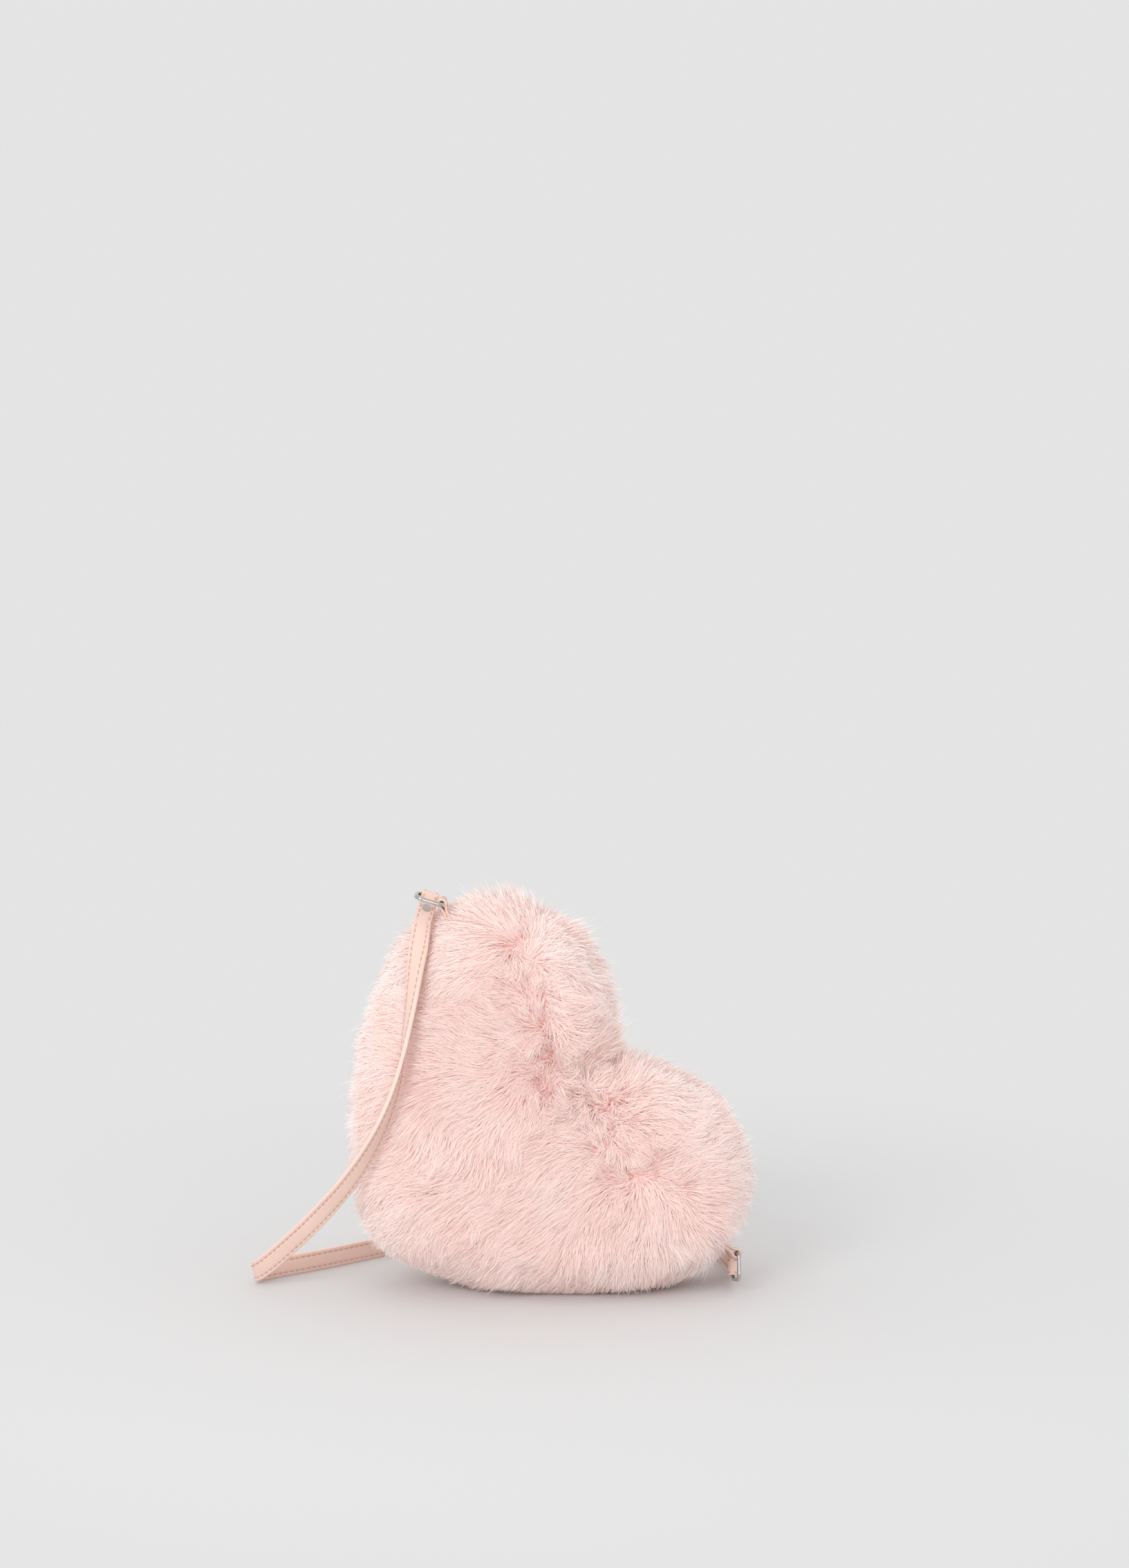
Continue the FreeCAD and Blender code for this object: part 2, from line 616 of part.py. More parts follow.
# D-rings
def ring_body(name):
    """A wire ring in its own frame: bar on y through the origin, far side at +x."""
    body = doc.addObject("PartDesign::Body", name)
    path = new_sketch(body, name + "_path", "XY_Plane")
    half = size("ring_width") / 2
    length = size("ring_length")
    near, far = size("ring_near_round"), size("ring_far_round")
    corners = [
        (Vector(near, half - near, 0), near, 90, 180),
        (Vector(near, near - half, 0), near, 180, 270),
        (Vector(length - far, far - half, 0), far, 270, 360),
        (Vector(length - far, half - far, 0), far, 0, 90),
    ]
    arcs = []
    for centre, radius, first, last in corners:
        circle = Part.Circle(centre, Vector(0, 0, 1), radius)
        arc = Part.ArcOfCircle(circle, math.radians(first), math.radians(last))
        arcs.append(path.addGeometry(arc, False))
    lines = []
    for one, other in ((0, 1), (1, 2), (2, 3), (3, 0)):
        start = path.getPoint(arcs[one], END)
        end = path.getPoint(arcs[other], START)
        line = path.addGeometry(Part.LineSegment(start, end), False)
        lines.append(line)
        path.addConstraint(Sketcher.Constraint("Tangent", arcs[one], END, line, START))
        path.addConstraint(Sketcher.Constraint("Tangent", line, END, arcs[other], START))
    path.addConstraint(Sketcher.Constraint("Vertical", lines[0]))
    path.addConstraint(Sketcher.Constraint("Horizontal", lines[1]))
    path.addConstraint(Sketcher.Constraint("Vertical", lines[2]))
    path.addConstraint(Sketcher.Constraint("Horizontal", lines[3]))
    path.addConstraint(Sketcher.Constraint("Equal", arcs[0], arcs[1]))
    path.addConstraint(Sketcher.Constraint("Equal", arcs[2], arcs[3]))
    dimension(path, "Radius", "ring_near_round", arcs[0])
    dimension(path, "Radius", "ring_far_round", arcs[2])
    dimension(path, "DistanceX", "ring_length", lines[0], START, lines[2], START)
    dimension(path, "DistanceY", "ring_width", lines[1], START, lines[3], END)
    path.addConstraint(Sketcher.Constraint("PointOnObject", lines[0], START, VERTICAL_AXIS))
    dimension(path, "DistanceY", "ring_width / 2", AXIS_GEOMETRY, START, lines[3], END)
    section = new_sketch(body, name + "_section", "XZ_Plane")
    section.addGeometry(Part.Circle(Vector(), Vector(0, 0, 1), size("wire_diameter") / 2), False)
    section.addConstraint(Sketcher.Constraint("Coincident", 0, CENTRE, AXIS_GEOMETRY, START))
    dimension(section, "Diameter", "wire_diameter", 0)
    doc.recompute()
    pipe = body.newObject("PartDesign::AdditivePipe", name + "_wire")
    pipe.Profile = section
    pipe.Spine = (path, [])
    doc.recompute()
    return body


def keyhole(name, ply, width, stem):
    """Leather folded round a wire: an eye on the origin and a doubled stem along +x."""
    half = size(width) / 2
    inner = "wire_diameter / 2 + eye_clearance"
    eye = add("Part::Cylinder", name + "_eye", along_y(0, -half, 0),
              Radius=inner + " + " + ply, Height=width)
    leaf = add("Part::Box", name + "_stem", at(0, -half, -size(ply)),
               Length=stem, Width=width, Height="2 * " + ply)
    bore = add("Part::Cylinder", name + "_bore", along_y(0, -half, 0),
               Radius=inner, Height=width)
    return cut(name + "_leather", fuse(name + "_fold", eye, leaf), bore)


# Rivets: a domed cap with its shank, and a back plate with a socket for it
def rivet_cap(name):
    bulge = "( rivet_cap ^ 2 / 4 + rivet_dome ^ 2 ) / ( 2 * rivet_dome )"
    ball = add("Part::Sphere", name + "_ball", Radius=bulge)
    ball.setExpression("Placement.Base.z", from_sheet("rivet_dome - " + bulge))
    blank = add("Part::Cylinder", name + "_blank", Radius="rivet_cap / 2", Height="rivet_dome")
    grip = 2 * size("strap_ply") + size("rivet_back_thickness") / 2
    shank = add("Part::Cylinder", name + "_shank", at(0, 0, -grip),
                Radius="rivet_shank / 2", Height="2 * strap_ply + rivet_back_thickness / 2")
    return fuse(name + "_piece", common(name + "_dome", ball, blank), shank)


def rivet_back(name):
    low = -2 * size("strap_ply") - size("rivet_back_thickness")
    plate = add("Part::Cylinder", name + "_plate", at(0, 0, low),
                Radius="rivet_back / 2", Height="rivet_back_thickness")
    socket = add("Part::Cylinder", name + "_socket",
                 at(0, 0, low + size("rivet_back_thickness") / 2),
                 Radius="rivet_shank / 2 + rivet_clearance", Height="rivet_back_thickness / 2")
    return cut(name + "_piece", plate, socket)


strap_ends = {}
for name, side in SIDES:
    centre, out, bar, direction = ring_frame(side)
    ring_place = frame(centre, direction, direction.cross(bar))
    ring = ring_body(name + "_ring_body")
    ring.Placement = ring_place
    publish(name + "_d_ring", ring)

    tab = keyhole(name + "_tab_piece", "tab_ply", "tab_width",
                  "ring_stand_off + " + " + ".join(TAPE_IN))
    tab.Placement = frame(centre, out * -1, (out * -1).cross(bar))
    publish(name + "_tab", tab)

    lean = size("left_lean") if side < 0 else size("right_lean")
    seat = ring_place.multVec(Vector(size("ring_length") / 2, size("ring_width") / 2, 0))
    hang = Rotation(direction, lean).multVec(direction.cross(bar))
    end = keyhole(name + "_end_piece", "strap_ply", "strap_end_width", "strap_fold")
    hole = add("Part::Cylinder", name + "_rivet_hole",
               at(size("rivet_from_wire"), 0, -size("strap_ply")),
               Radius="rivet_shank / 2 + rivet_clearance", Height="2 * strap_ply")
    end = cut(name + "_end_holed", end, hole)
    end_place = frame(seat, hang, hang.cross(direction))
    end.Placement = end_place
    publish(name + "_strap_end", end)

    rivet_place = end_place.multiply(at(size("rivet_from_wire"), 0, size("strap_ply")))
    for label, piece in (("rivet_cap", rivet_cap(name + "_cap")),
                         ("rivet_back", rivet_back(name + "_back"))):
        piece.Placement = rivet_place
        publish(name + "_" + label, piece)
    strap_ends[name] = (seat + hang * size("strap_fold"), hang, direction)

# The strap: hand-chosen route of its middle line, and the way its width points there
LEFT_ROUTE = [
    (-52.0, -27.0, 138.5), (-54.3, -32.5, 121.5), (-56.8, -34.5, 105.0), (-60.2, -35.0, 87.5),
    (-67.2, -33.0, 69.0), (-77.8, -27.0, 50.0), (-93.0, -17.5, 31.0), (-108.4, -9.0, 15.0),
    (-117.0, -4.0, 7.0), (-120.0, 3.0, 4.4), (-111.0, 10.5, 4.4), (-90.0, 26.0, 4.4),
    (-60.0, 53.0, 4.4), (-20.0, 76.0, 4.4),
]
LEFT_WIDTHS = [
    (-0.74, 0.65, 0.16), (-0.48, 0.87, 0.06), (-0.14, 0.99, 0.00), (0.28, 0.96, -0.05),
    (0.55, 0.80, -0.23), (0.70, 0.48, -0.50), (0.67, 0.22, -0.70), (0.70, 0.10, -0.70),
    (0.50, 0.05, -0.85), (0.10, 0.00, -0.99), (0.00, 0.00, -1.00), (0.00, 0.00, -1.00),
    (0.00, 0.00, -1.00), (0.00, 0.00, -1.00),
]
RIGHT_ROUTE = [(22.0, 79.0, 4.4), (56.0, 64.0, 4.4), (72.5, 36.0, 4.4)]
RIGHT_WIDTHS = [(0.00, 0.00, -1.00), (0.00, 0.00, -1.00), (-0.05, 0.00, -1.00)]
ARC_STEPS = 3
RUN_SHARE = 0.45


def strap_line(points):
    """Places and directions along straight runs joined by tangent arcs, with each point's share."""
    line = [(points[0], (points[1] - points[0]).normalize(), 0.0)]
    radii = []
    for number, (before, here, after) in enumerate(zip(points, points[1:], points[2:]), start=1):
        coming = (here - before).normalize()
        going = (after - here).normalize()
        shorter = min((here - before).Length, (after - here).Length)
        turn = coming.getAngle(going)
        radius = RUN_SHARE * shorter / math.tan(turn / 2)
        radii.append(radius)
        inward = (going - coming).normalize()
        heading = (coming + going).normalize()
        middle = here + inward * (radius / math.cos(turn / 2))
        for step in range(ARC_STEPS + 1):
            share = step / ARC_STEPS - 1 / 2
            swing = turn * share
            place = middle + (heading * math.sin(swing) - inward * math.cos(swing)) * radius
            tangent = heading * math.cos(swing) + inward * math.sin(swing)
            run = (here - before if share < 0 else after - here).Length
            line.append((place, tangent, number + share * 2 * RUN_SHARE * shorter / run))
    line.append((points[-1], (points[-1] - points[-2]).normalize(), len(points) - 1.0))
    print("strap bend radii, mm:", [round(radius, 1) for radius in radii])
    return line


def strap_stations():
    """Corners of the strap's sections, with the width turning steadily from point to point."""
    first, leave, first_width = strap_ends["left"]
    last, arrive, last_width = strap_ends["right"]
    points = [first] + [Vector(*p) for p in LEFT_ROUTE + RIGHT_ROUTE] + [last]
    ways = [first_width] + [Vector(*w) for w in LEFT_WIDTHS + RIGHT_WIDTHS] + [last_width]
    line = strap_line(points)
    line[0] = (first, leave, 0.0)
    line[-1] = (last, arrive * -1, line[-1][2])
    sections = []
    for place, tangent, where in line:
        below = min(int(where), len(ways) - 2)
        part = where - below
        way = ways[below] * (1 - part) + ways[below + 1] * part
        at_end = where in (line[0][2], line[-1][2])
        width = size("strap_end_width") if at_end else size("strap_width")
        sections.append(strap_corners(place, tangent, way, width))
    length = sum((b[0] - a[0]).Length for a, b in zip(line, line[1:]))
    print("strap length between its folded ends, mm:", round(length, 1))
    return sections


def strap_corners(place, tangent, way, width):
    """Corners of one section, square to the strap's direction."""
    wide = way - tangent * way.dot(tangent)
    wide = wide.normalize() * (width / 2)
    deep = tangent.cross(wide).normalize() * (size("strap_thickness") / 2)
    return [place + wide + deep, place - wide + deep, place - wide - deep, place + wide - deep]


def strap_solid(sections):
    """Short ruled lofts from section to section, fused into one strip."""
    outlines = [Part.makePolygon(corners + corners[:1]) for corners in sections]
    lofts = [Part.makeLoft([one, other], True, True) for one, other in zip(outlines, outlines[1:])]
    return lofts[0].fuse(lofts[1:])


strap_sections = strap_stations()
split = len(LEFT_ROUTE) * (ARC_STEPS + 1)
for label, sections in (("strap_front_run", strap_sections[:split + 1]),
                        ("strap_back_run", strap_sections[split:])):
    run = doc.addObject("Part::Feature", label + "_strip")
    run.Shape = strap_solid(sections)
    publish(label, run)

# Check everything, then write one file for each sub-part
doc.recompute()
for obj in doc.Objects:
    if "Invalid" in obj.State or "Error" in obj.State:
        raise RuntimeError("failed object: " + obj.Name)
for label, obj in subparts.items():
    if obj.Shape.isNull() or not obj.Shape.isValid():
        raise RuntimeError("bad shape: " + label)
for label, obj in subparts.items():
    obj.Shape.exportStep("parts/" + label + ".step")
    print("%-18s %3d solids %10.1f mm3" % (label, len(obj.Shape.Solids), obj.Shape.Volume))
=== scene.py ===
# %% [markdown]
# # A heart shaped purse in long faux fur
#
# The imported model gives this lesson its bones: a padded heart that stands on its right flank, two
# wire rings, a zip and a flat strap. Here those bones are dressed the way a bag maker would dress
# them: fur cloth over soft filling, a stitched leather strap, leather tabs, bright metal.
# Everything is in metres, +Z is up, and the front of the heart faces -Y.

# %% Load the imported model
import json
import math
import bmesh
import bpy
import numpy as np
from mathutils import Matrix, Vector, kdtree

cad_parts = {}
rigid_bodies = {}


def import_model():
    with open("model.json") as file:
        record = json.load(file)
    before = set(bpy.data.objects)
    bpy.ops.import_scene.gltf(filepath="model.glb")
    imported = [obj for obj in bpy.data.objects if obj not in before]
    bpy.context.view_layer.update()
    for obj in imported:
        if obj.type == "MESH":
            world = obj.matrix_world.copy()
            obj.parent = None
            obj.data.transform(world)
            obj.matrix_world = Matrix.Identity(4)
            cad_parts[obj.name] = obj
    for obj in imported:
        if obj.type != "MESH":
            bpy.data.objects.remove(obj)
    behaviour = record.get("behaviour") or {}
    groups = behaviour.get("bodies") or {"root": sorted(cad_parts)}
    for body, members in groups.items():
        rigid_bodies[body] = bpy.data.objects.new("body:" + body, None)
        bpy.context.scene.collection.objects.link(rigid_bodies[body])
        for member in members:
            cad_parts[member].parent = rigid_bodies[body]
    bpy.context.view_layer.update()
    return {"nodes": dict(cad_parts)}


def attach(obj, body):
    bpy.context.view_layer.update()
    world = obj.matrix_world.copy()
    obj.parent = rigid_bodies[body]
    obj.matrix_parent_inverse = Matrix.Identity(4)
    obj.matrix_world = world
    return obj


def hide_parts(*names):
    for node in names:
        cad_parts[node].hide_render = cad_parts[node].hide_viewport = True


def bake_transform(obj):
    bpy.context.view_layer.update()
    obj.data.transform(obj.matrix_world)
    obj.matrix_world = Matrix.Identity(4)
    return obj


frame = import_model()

MM = 0.001
nodes = frame["nodes"]
scene = bpy.context.scene
scene.view_settings.view_transform = "Standard"

# %% [markdown]
# ## The camera
# The photograph looks a little down on the purse from about a metre and a half, through a long
# lens, so parallel edges hardly lean. The purse sits low in the frame because the lens points
# above it. Setting the lens, the distance and the tilt first means that everything made later can
# be judged in the right place.

# %% Camera at the photograph's viewing angle
lens_data = bpy.data.cameras.new("photo_camera")
lens_data.sensor_fit = "VERTICAL"
lens_data.sensor_height = 36
lens_data.lens = 82.5
camera = bpy.data.objects.new("photo_camera", lens_data)
camera.location = (0.0, -1.412, 0.379)
camera.rotation_euler = (math.radians(82.9), 0, math.radians(-0.23))
scene.collection.objects.link(camera)
scene.camera = camera
print("camera is %.2f m from the purse" % camera.location.length)

# %% [markdown]
# ## Helpers for meshes and materials
# Pieces are made from lists of points and faces, and materials from a few nodes each. These small
# functions keep the later cells short.

# %% Mesh and node helpers
def new_piece(name, mesh, material):
    """Put a mesh into the scene under a name, with one material."""
    piece = bpy.data.objects.new(name, mesh)
    scene.collection.objects.link(piece)
    mesh.materials.append(material)
    return piece


def mesh_of(name, points, faces):
    mesh = bpy.data.meshes.new(name)
    mesh.from_pydata([tuple(p) for p in points], [], faces)
    mesh.update()
    return mesh


def smooth(mesh):
    mesh.polygons.foreach_set("use_smooth", [True] * len(mesh.polygons))


def smooth_piece(name, points, faces, material):
    mesh = mesh_of(name, points, faces)
    smooth(mesh)
    return new_piece(name, mesh, material)


def tube_faces(rings, size, turned=False):
    """Quads between rings of points and a lid on each end; turned, they face the other way."""
    faces = []
    for ring in range(rings - 1):
        for k in range(size):
            a, b = ring * size + k, ring * size + (k + 1) % size
            faces.append((a, a + size, b + size, b) if turned else (a, b, b + size, a + size))
    first, last = tuple(range(size)), tuple(range((rings - 1) * size, rings * size))
    return faces + ([first, last[::-1]] if turned else [first[::-1], last])


def dress(piece, body, node=None):
    """Let a piece ride on a body, and hide the CAD node that it stands in for."""
    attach(piece, body)
    if node:
        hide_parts(node)


def new_material(name, roughness, **plain):
    """A material with a Principled shader; plain holds sockets that are the same all over."""
    material = bpy.data.materials.new(name)
    material.use_nodes = True
    shader = material.node_tree.nodes["Principled BSDF"]
    shader.inputs["Roughness"].default_value = roughness
    for socket, value in plain.items():
        shader.inputs[socket.replace("_", " ")].default_value = value
    return material, material.node_tree, shader


def add_node(tree, kind, **values):
    """Add a node; values are sockets by name, with _ for a space."""
    node = tree.nodes.new(kind)
    for socket, value in values.items():
        node.inputs[socket.replace("_", " ")].default_value = value
    return node


def new_group(name, inputs, outputs):
    """An empty shader node group with its named sockets."""
    group = bpy.data.node_groups.new(name, "ShaderNodeTree")
    for socket, kind, value in inputs:
        group.interface.new_socket(socket, in_out="INPUT", socket_type=kind).default_value = value
    for socket, kind in outputs:
        group.interface.new_socket(socket, in_out="OUTPUT", socket_type=kind)
    return group, group.nodes.new("NodeGroupInput"), group.nodes.new("NodeGroupOutput")


def place_group(tree, group, **values):
    node = tree.nodes.new("ShaderNodeGroup")
    node.node_tree = group
    for socket, value in values.items():
        node.inputs[socket.replace("_", " ")].default_value = value
    return node


def link(tree, *wires):
    """Wire nodes together: each wire is a node, its output, the next node and its input."""
    for source, output, target, entry in wires:
        tree.links.new(source.outputs[output], target.inputs[entry])


def bump(tree, shader, source, strength, distance):
    """Let a node's Height output raise the surface."""
    node = add_node(tree, "ShaderNodeBump", Strength=strength, Distance=distance)
    link(tree, (source, "Height", node, "Height"), (node, "Normal", shader, "Normal"))


print("helpers ready")

# %% [markdown]
# ## Effects that several materials share
# Cloth and leather are never one flat colour: dye takes a little unevenly, leather has pores and
# fine creases, cloth has crossing threads. Each of these is a node group, built once and placed in
# every material that needs it with its own colours and scale.

# %% Uneven dye
dye, dye_in, dye_out = new_group(
    "uneven_dye",
    [("Pale", "NodeSocketColor", (1, 1, 1, 1)), ("Deep", "NodeSocketColor", (1, 1, 1, 1)),
     ("Scale", "NodeSocketFloat", 40.0)],
    [("Color", "NodeSocketColor"), ("Mask", "NodeSocketFloat")])
dye_place = dye.nodes.new("ShaderNodeTexCoord")
dye_noise = add_node(dye, "ShaderNodeTexNoise", Detail=5.0, Roughness=0.6)
dye_mix = dye.nodes.new("ShaderNodeMix")
dye_mix.data_type = "RGBA"
link(dye, (dye_place, "Object", dye_noise, "Vector"), (dye_in, "Scale", dye_noise, "Scale"),
     (dye_noise, "Fac", dye_mix, "Factor"), (dye_in, "Pale", dye_mix, "A"),
     (dye_in, "Deep", dye_mix, "B"), (dye_mix, "Result", dye_out, "Color"),
     (dye_noise, "Fac", dye_out, "Mask"))
print("group:", dye.name)

# %% Leather grain
grain, grain_in, grain_out = new_group(
    "leather_grain", [("Scale", "NodeSocketFloat", 900.0)],
    [("Height", "NodeSocketFloat"), ("Roughness", "NodeSocketFloat")])
grain_place = grain.nodes.new("ShaderNodeTexCoord")
pores = grain.nodes.new("ShaderNodeTexVoronoi")
pores.feature = "SMOOTH_F1"
creases = add_node(grain, "ShaderNodeTexNoise", Scale=160.0, Detail=3.0)
grain_sum = grain.nodes.new("ShaderNodeMath")
grain_sum.operation = "MULTIPLY_ADD"
grain_sum.inputs[1].default_value = 0.6
shine = add_node(grain, "ShaderNodeMapRange", From_Min=0.3, From_Max=0.7, To_Min=0.42, To_Max=0.56)
link(grain, (grain_place, "Object", pores, "Vector"), (grain_place, "Object", creases, "Vector"),
     (grain_in, "Scale", pores, "Scale"), (pores, "Distance", grain_sum, 0),
     (creases, "Fac", grain_sum, 2), (grain_sum, 0, grain_out, "Height"),
     (creases, "Fac", shine, "Value"), (shine, "Result", grain_out, "Roughness"))
print("group:", grain.name)

# %% Crossing threads
weave, weave_in, weave_out = new_group(
    "crossing_threads", [("Scale", "NodeSocketFloat", 500.0)], [("Height", "NodeSocketFloat")])
weave_place = weave.nodes.new("ShaderNodeTexCoord")
threads = []
for direction in ("X", "Z"):
    thread = weave.nodes.new("ShaderNodeTexWave")
    thread.bands_direction = direction
    thread.inputs["Distortion"].default_value = 1.2
    link(weave, (weave_place, "Object", thread, "Vector"), (weave_in, "Scale", thread, "Scale"))
    threads.append(thread)
weave_top = weave.nodes.new("ShaderNodeMath")
weave_top.operation = "MAXIMUM"
link(weave, (threads[0], "Fac", weave_top, 0), (threads[1], "Fac", weave_top, 1),
     (weave_top, 0, weave_out, "Height"))
print("group:", weave.name)

# %% [markdown]
# ## Leather, thread, metal and cloth
# The strap and tabs are smooth pale pink leather with a soft shine. Its cut edge is painted a
# little paler, and the sewing thread is tan. The rings and rivets are plated wire, so they are
# mirror bright with faint handling marks. The pocket lining is a satin, the zip tape a firm weave.

# %% Leather finishes
def leather_finish(name, pale, deep):
    material, tree, shader = new_material(name, 0.48, Specular_IOR_Level=0.4)
    colour = place_group(tree, dye, Pale=pale, Deep=deep, Scale=70.0)
    skin = place_group(tree, grain, Scale=1100.0)
    link(tree, (colour, "Color", shader, "Base Color"), (skin, "Roughness", shader, "Roughness"))
    bump(tree, shader, skin, 0.25, 0.12 * MM)
    return material


strap_leather = leather_finish("strap_leather", (0.845, 0.62, 0.54, 1), (0.795, 0.56, 0.48, 1))
edge_paint = leather_finish("strap_edge_paint", (0.93, 0.72, 0.63, 1), (0.88, 0.62, 0.53, 1))
thread_tan = leather_finish("sewing_thread", (0.62, 0.40, 0.31, 1), (0.50, 0.31, 0.24, 1))
print("finishes:", strap_leather.name, edge_paint.name, thread_tan.name)

# %% Plated metal
plated, plated_tree, plated_shader = new_material("plated_metal", 0.16)
plated_shader.inputs["Metallic"].default_value = 1.0
plated_colour = place_group(
    plated_tree, dye, Pale=(0.64, 0.63, 0.61, 1), Deep=(0.48, 0.47, 0.45, 1), Scale=350.0)
plated_marks = add_node(
    plated_tree, "ShaderNodeMapRange", From_Min=0.35, From_Max=0.75, To_Min=0.10, To_Max=0.28)
link(plated_tree, (plated_colour, "Color", plated_shader, "Base Color"),
     (plated_colour, "Mask", plated_marks, "Value"),
     (plated_marks, "Result", plated_shader, "Roughness"))
print("finish:", plated.name)


# %% Cloths of the inside
def cloth_finish(name, pale, deep, scale, roughness):
    material, tree, shader = new_material(name, roughness, Sheen_Weight=0.3)
    colour = place_group(tree, dye, Pale=pale, Deep=deep, Scale=60.0)
    threads_of = place_group(tree, weave, Scale=scale)
    link(tree, (colour, "Color", shader, "Base Color"))
    bump(tree, shader, threads_of, 0.4, 0.1 * MM)
    return material


lining_satin = cloth_finish("lining_satin", (0.82, 0.54, 0.49, 1), (0.74, 0.45, 0.41, 1), 700, 0.4)
wadding_fleece = cloth_finish(
    "wadding_fleece", (0.86, 0.84, 0.80, 1), (0.76, 0.73, 0.69, 1), 120, 0.95)
tape_weave = cloth_finish("zip_tape_weave", (0.84, 0.55, 0.50, 1), (0.75, 0.46, 0.42, 1), 600, 0.7)
fur_backing = cloth_finish("fur_backing", (0.95, 0.78, 0.74, 1), (0.94, 0.74, 0.70, 1), 350, 0.9)
teeth_moulded = cloth_finish(
    "zip_teeth_moulded", (0.85, 0.57, 0.52, 1), (0.80, 0.51, 0.46, 1), 90, 0.45)
print("finishes:", lining_satin.name, tape_weave.name, fur_backing.name)

# %% [markdown]
# ## The strap's line
# The strap is one long strip of leather. It leaves the left ring, hangs down in front of the heart,
# turns over once, folds where it meets the floor and runs back behind the heart on its edge, to
# the right ring. A smooth spline along a few listed points gives that lie, and a second
# list says which way the strip's width points there, so the turn comes out steady. A few
# millimetres at each end are tucked between the plies of the folds at the rings.

# %% Route of the strap, in millimetres
ROUTE = [
    (-50.46, -12.63, 149.78), (-52.0, -27.0, 138.5), (-54.3, -32.5, 121.5), (-56.8, -34.5, 105.0),
    (-60.2, -35.0, 87.5), (-67.2, -33.0, 69.0), (-77.8, -27.0, 50.0), (-93.0, -17.5, 31.0),
    (-108.4, -9.0, 15.0), (-117.0, -4.0, 7.0), (-120.0, 3.0, 4.4), (-111.0, 10.5, 4.4),
    (-90.0, 26.0, 4.4), (-60.0, 53.0, 4.4), (-20.0, 76.0, 4.4), (22.0, 79.0, 4.4),
    (56.0, 64.0, 4.4), (72.5, 36.0, 4.4), (73.95, 10.29, 5.11),
]
WIDTH_WAYS = [
    (-0.956, 0.00, 0.292), (-0.74, 0.65, 0.16), (-0.48, 0.87, 0.06), (-0.14, 0.99, 0.00),
    (0.28, 0.96, -0.05), (0.55, 0.80, -0.23), (0.70, 0.48, -0.50), (0.67, 0.22, -0.70),
    (0.70, 0.10, -0.70), (0.50, 0.05, -0.85), (0.10, 0.00, -0.99), (0.00, 0.00, -1.00),
    (0.00, 0.00, -1.00), (0.00, 0.00, -1.00), (0.00, 0.00, -1.00), (0.00, 0.00, -1.00),
    (0.00, 0.00, -1.00), (-0.05, 0.00, -1.00), (0.001, -0.2285, -0.9735),
]
route = np.array(ROUTE) * MM


def smooth_line(points):
    """Points along a NURBS spline that has these control points."""
    curve = bpy.data.curves.new("strap_line", "CURVE")
    curve.dimensions = "3D"
    curve.resolution_u = 16
    spline = curve.splines.new("NURBS")
    spline.points.add(len(points) - 1)
    for knot, place in zip(spline.points, points):
        knot.co = (*place, 1)
    spline.order_u = 3
    spline.use_endpoint_u = True
    holder = bpy.data.objects.new("strap_line", curve)
    scene.collection.objects.link(holder)
    mesh = bpy.data.meshes.new_from_object(holder)
    found = np.array([v.co for v in mesh.vertices])
    bpy.data.objects.remove(holder)
    return found


TUCK = 3.0 * MM
LEFT_STEM = np.array((-0.188, -0.766, -0.615))
RIGHT_STEM = np.array((0.0507, 0.9723, -0.2282))
strap_line = smooth_line(route)
left_tuck, right_tuck = strap_line[0] - TUCK * LEFT_STEM, strap_line[-1] - TUCK * RIGHT_STEM
strap_line = np.vstack([left_tuck, strap_line, right_tuck])
strap_steps = np.linalg.norm(np.diff(strap_line, axis=0), axis=1)
strap_along = np.concatenate([[0], np.cumsum(strap_steps)])
print("strap line: %d points, %.0f mm" % (len(strap_line), strap_along[-1] / MM))


# %% Direction, width and face of the strap at each point
def route_share(line, controls):
    """Where each point of the line is along the control points, as 0, 1, 2 and between."""
    shares = []
    run = 0
    for place in line:
        best = None
        for k in range(run, min(run + 2, len(controls) - 1)):
            leg = controls[k + 1] - controls[k]
            part = np.clip((place - controls[k]) @ leg / (leg @ leg), 0, 1)
            away = np.linalg.norm(controls[k] + leg * part - place)
            if best is None or away < best[0]:
                best = (away, k, k + part)
        run = best[1]
        shares.append(best[2])
    return np.array(shares)


shares = route_share(strap_line, route)
heading = np.gradient(strap_line, axis=0)
heading /= np.linalg.norm(heading, axis=1)[:, None]
ways = np.array(WIDTH_WAYS)
across = np.stack([np.interp(shares, range(len(ways)), ways[:, k]) for k in range(3)], axis=1)
across -= heading * (across * heading).sum(axis=1)[:, None]
across /= np.linalg.norm(across, axis=1)[:, None]
facing = np.cross(heading, across)
print("strap turns over by", round(float(across[0] @ across[len(across) // 2]), 2))

# %% [markdown]
# ## The strap itself
# A strap like this is two plies glued and sewn along both edges. The cross-section is a rounded
# strip that is a little thinner under each row of stitches, swept along the line. It narrows
# towards the rings, where it is folded through. It is made in two halves that meet behind the
# heart.

# %% Sweep the strap
SECTION = [
    (-1.00, 0.35), (-0.97, 0.66), (-0.90, 0.84), (-0.70, 0.84), (-0.64, 0.72), (-0.58, 0.88),
    (-0.25, 0.92), (0.25, 0.92), (0.58, 0.88), (0.64, 0.72), (0.70, 0.84), (0.90, 0.84),
    (0.97, 0.66), (1.00, 0.35),
]
HALF_WIDTH, END_HALF_WIDTH, TAPER = 4.0 * MM, 3.5 * MM, 22 * MM
SEAM_SHARE = 0.64


def from_ring(along):
    """0 at a ring and 1 where the strap has its full width, with a smooth change between."""
    part = np.clip(np.minimum(along, strap_along[-1] - along) / TAPER, 0, 1)
    return part * part * (3 - 2 * part)


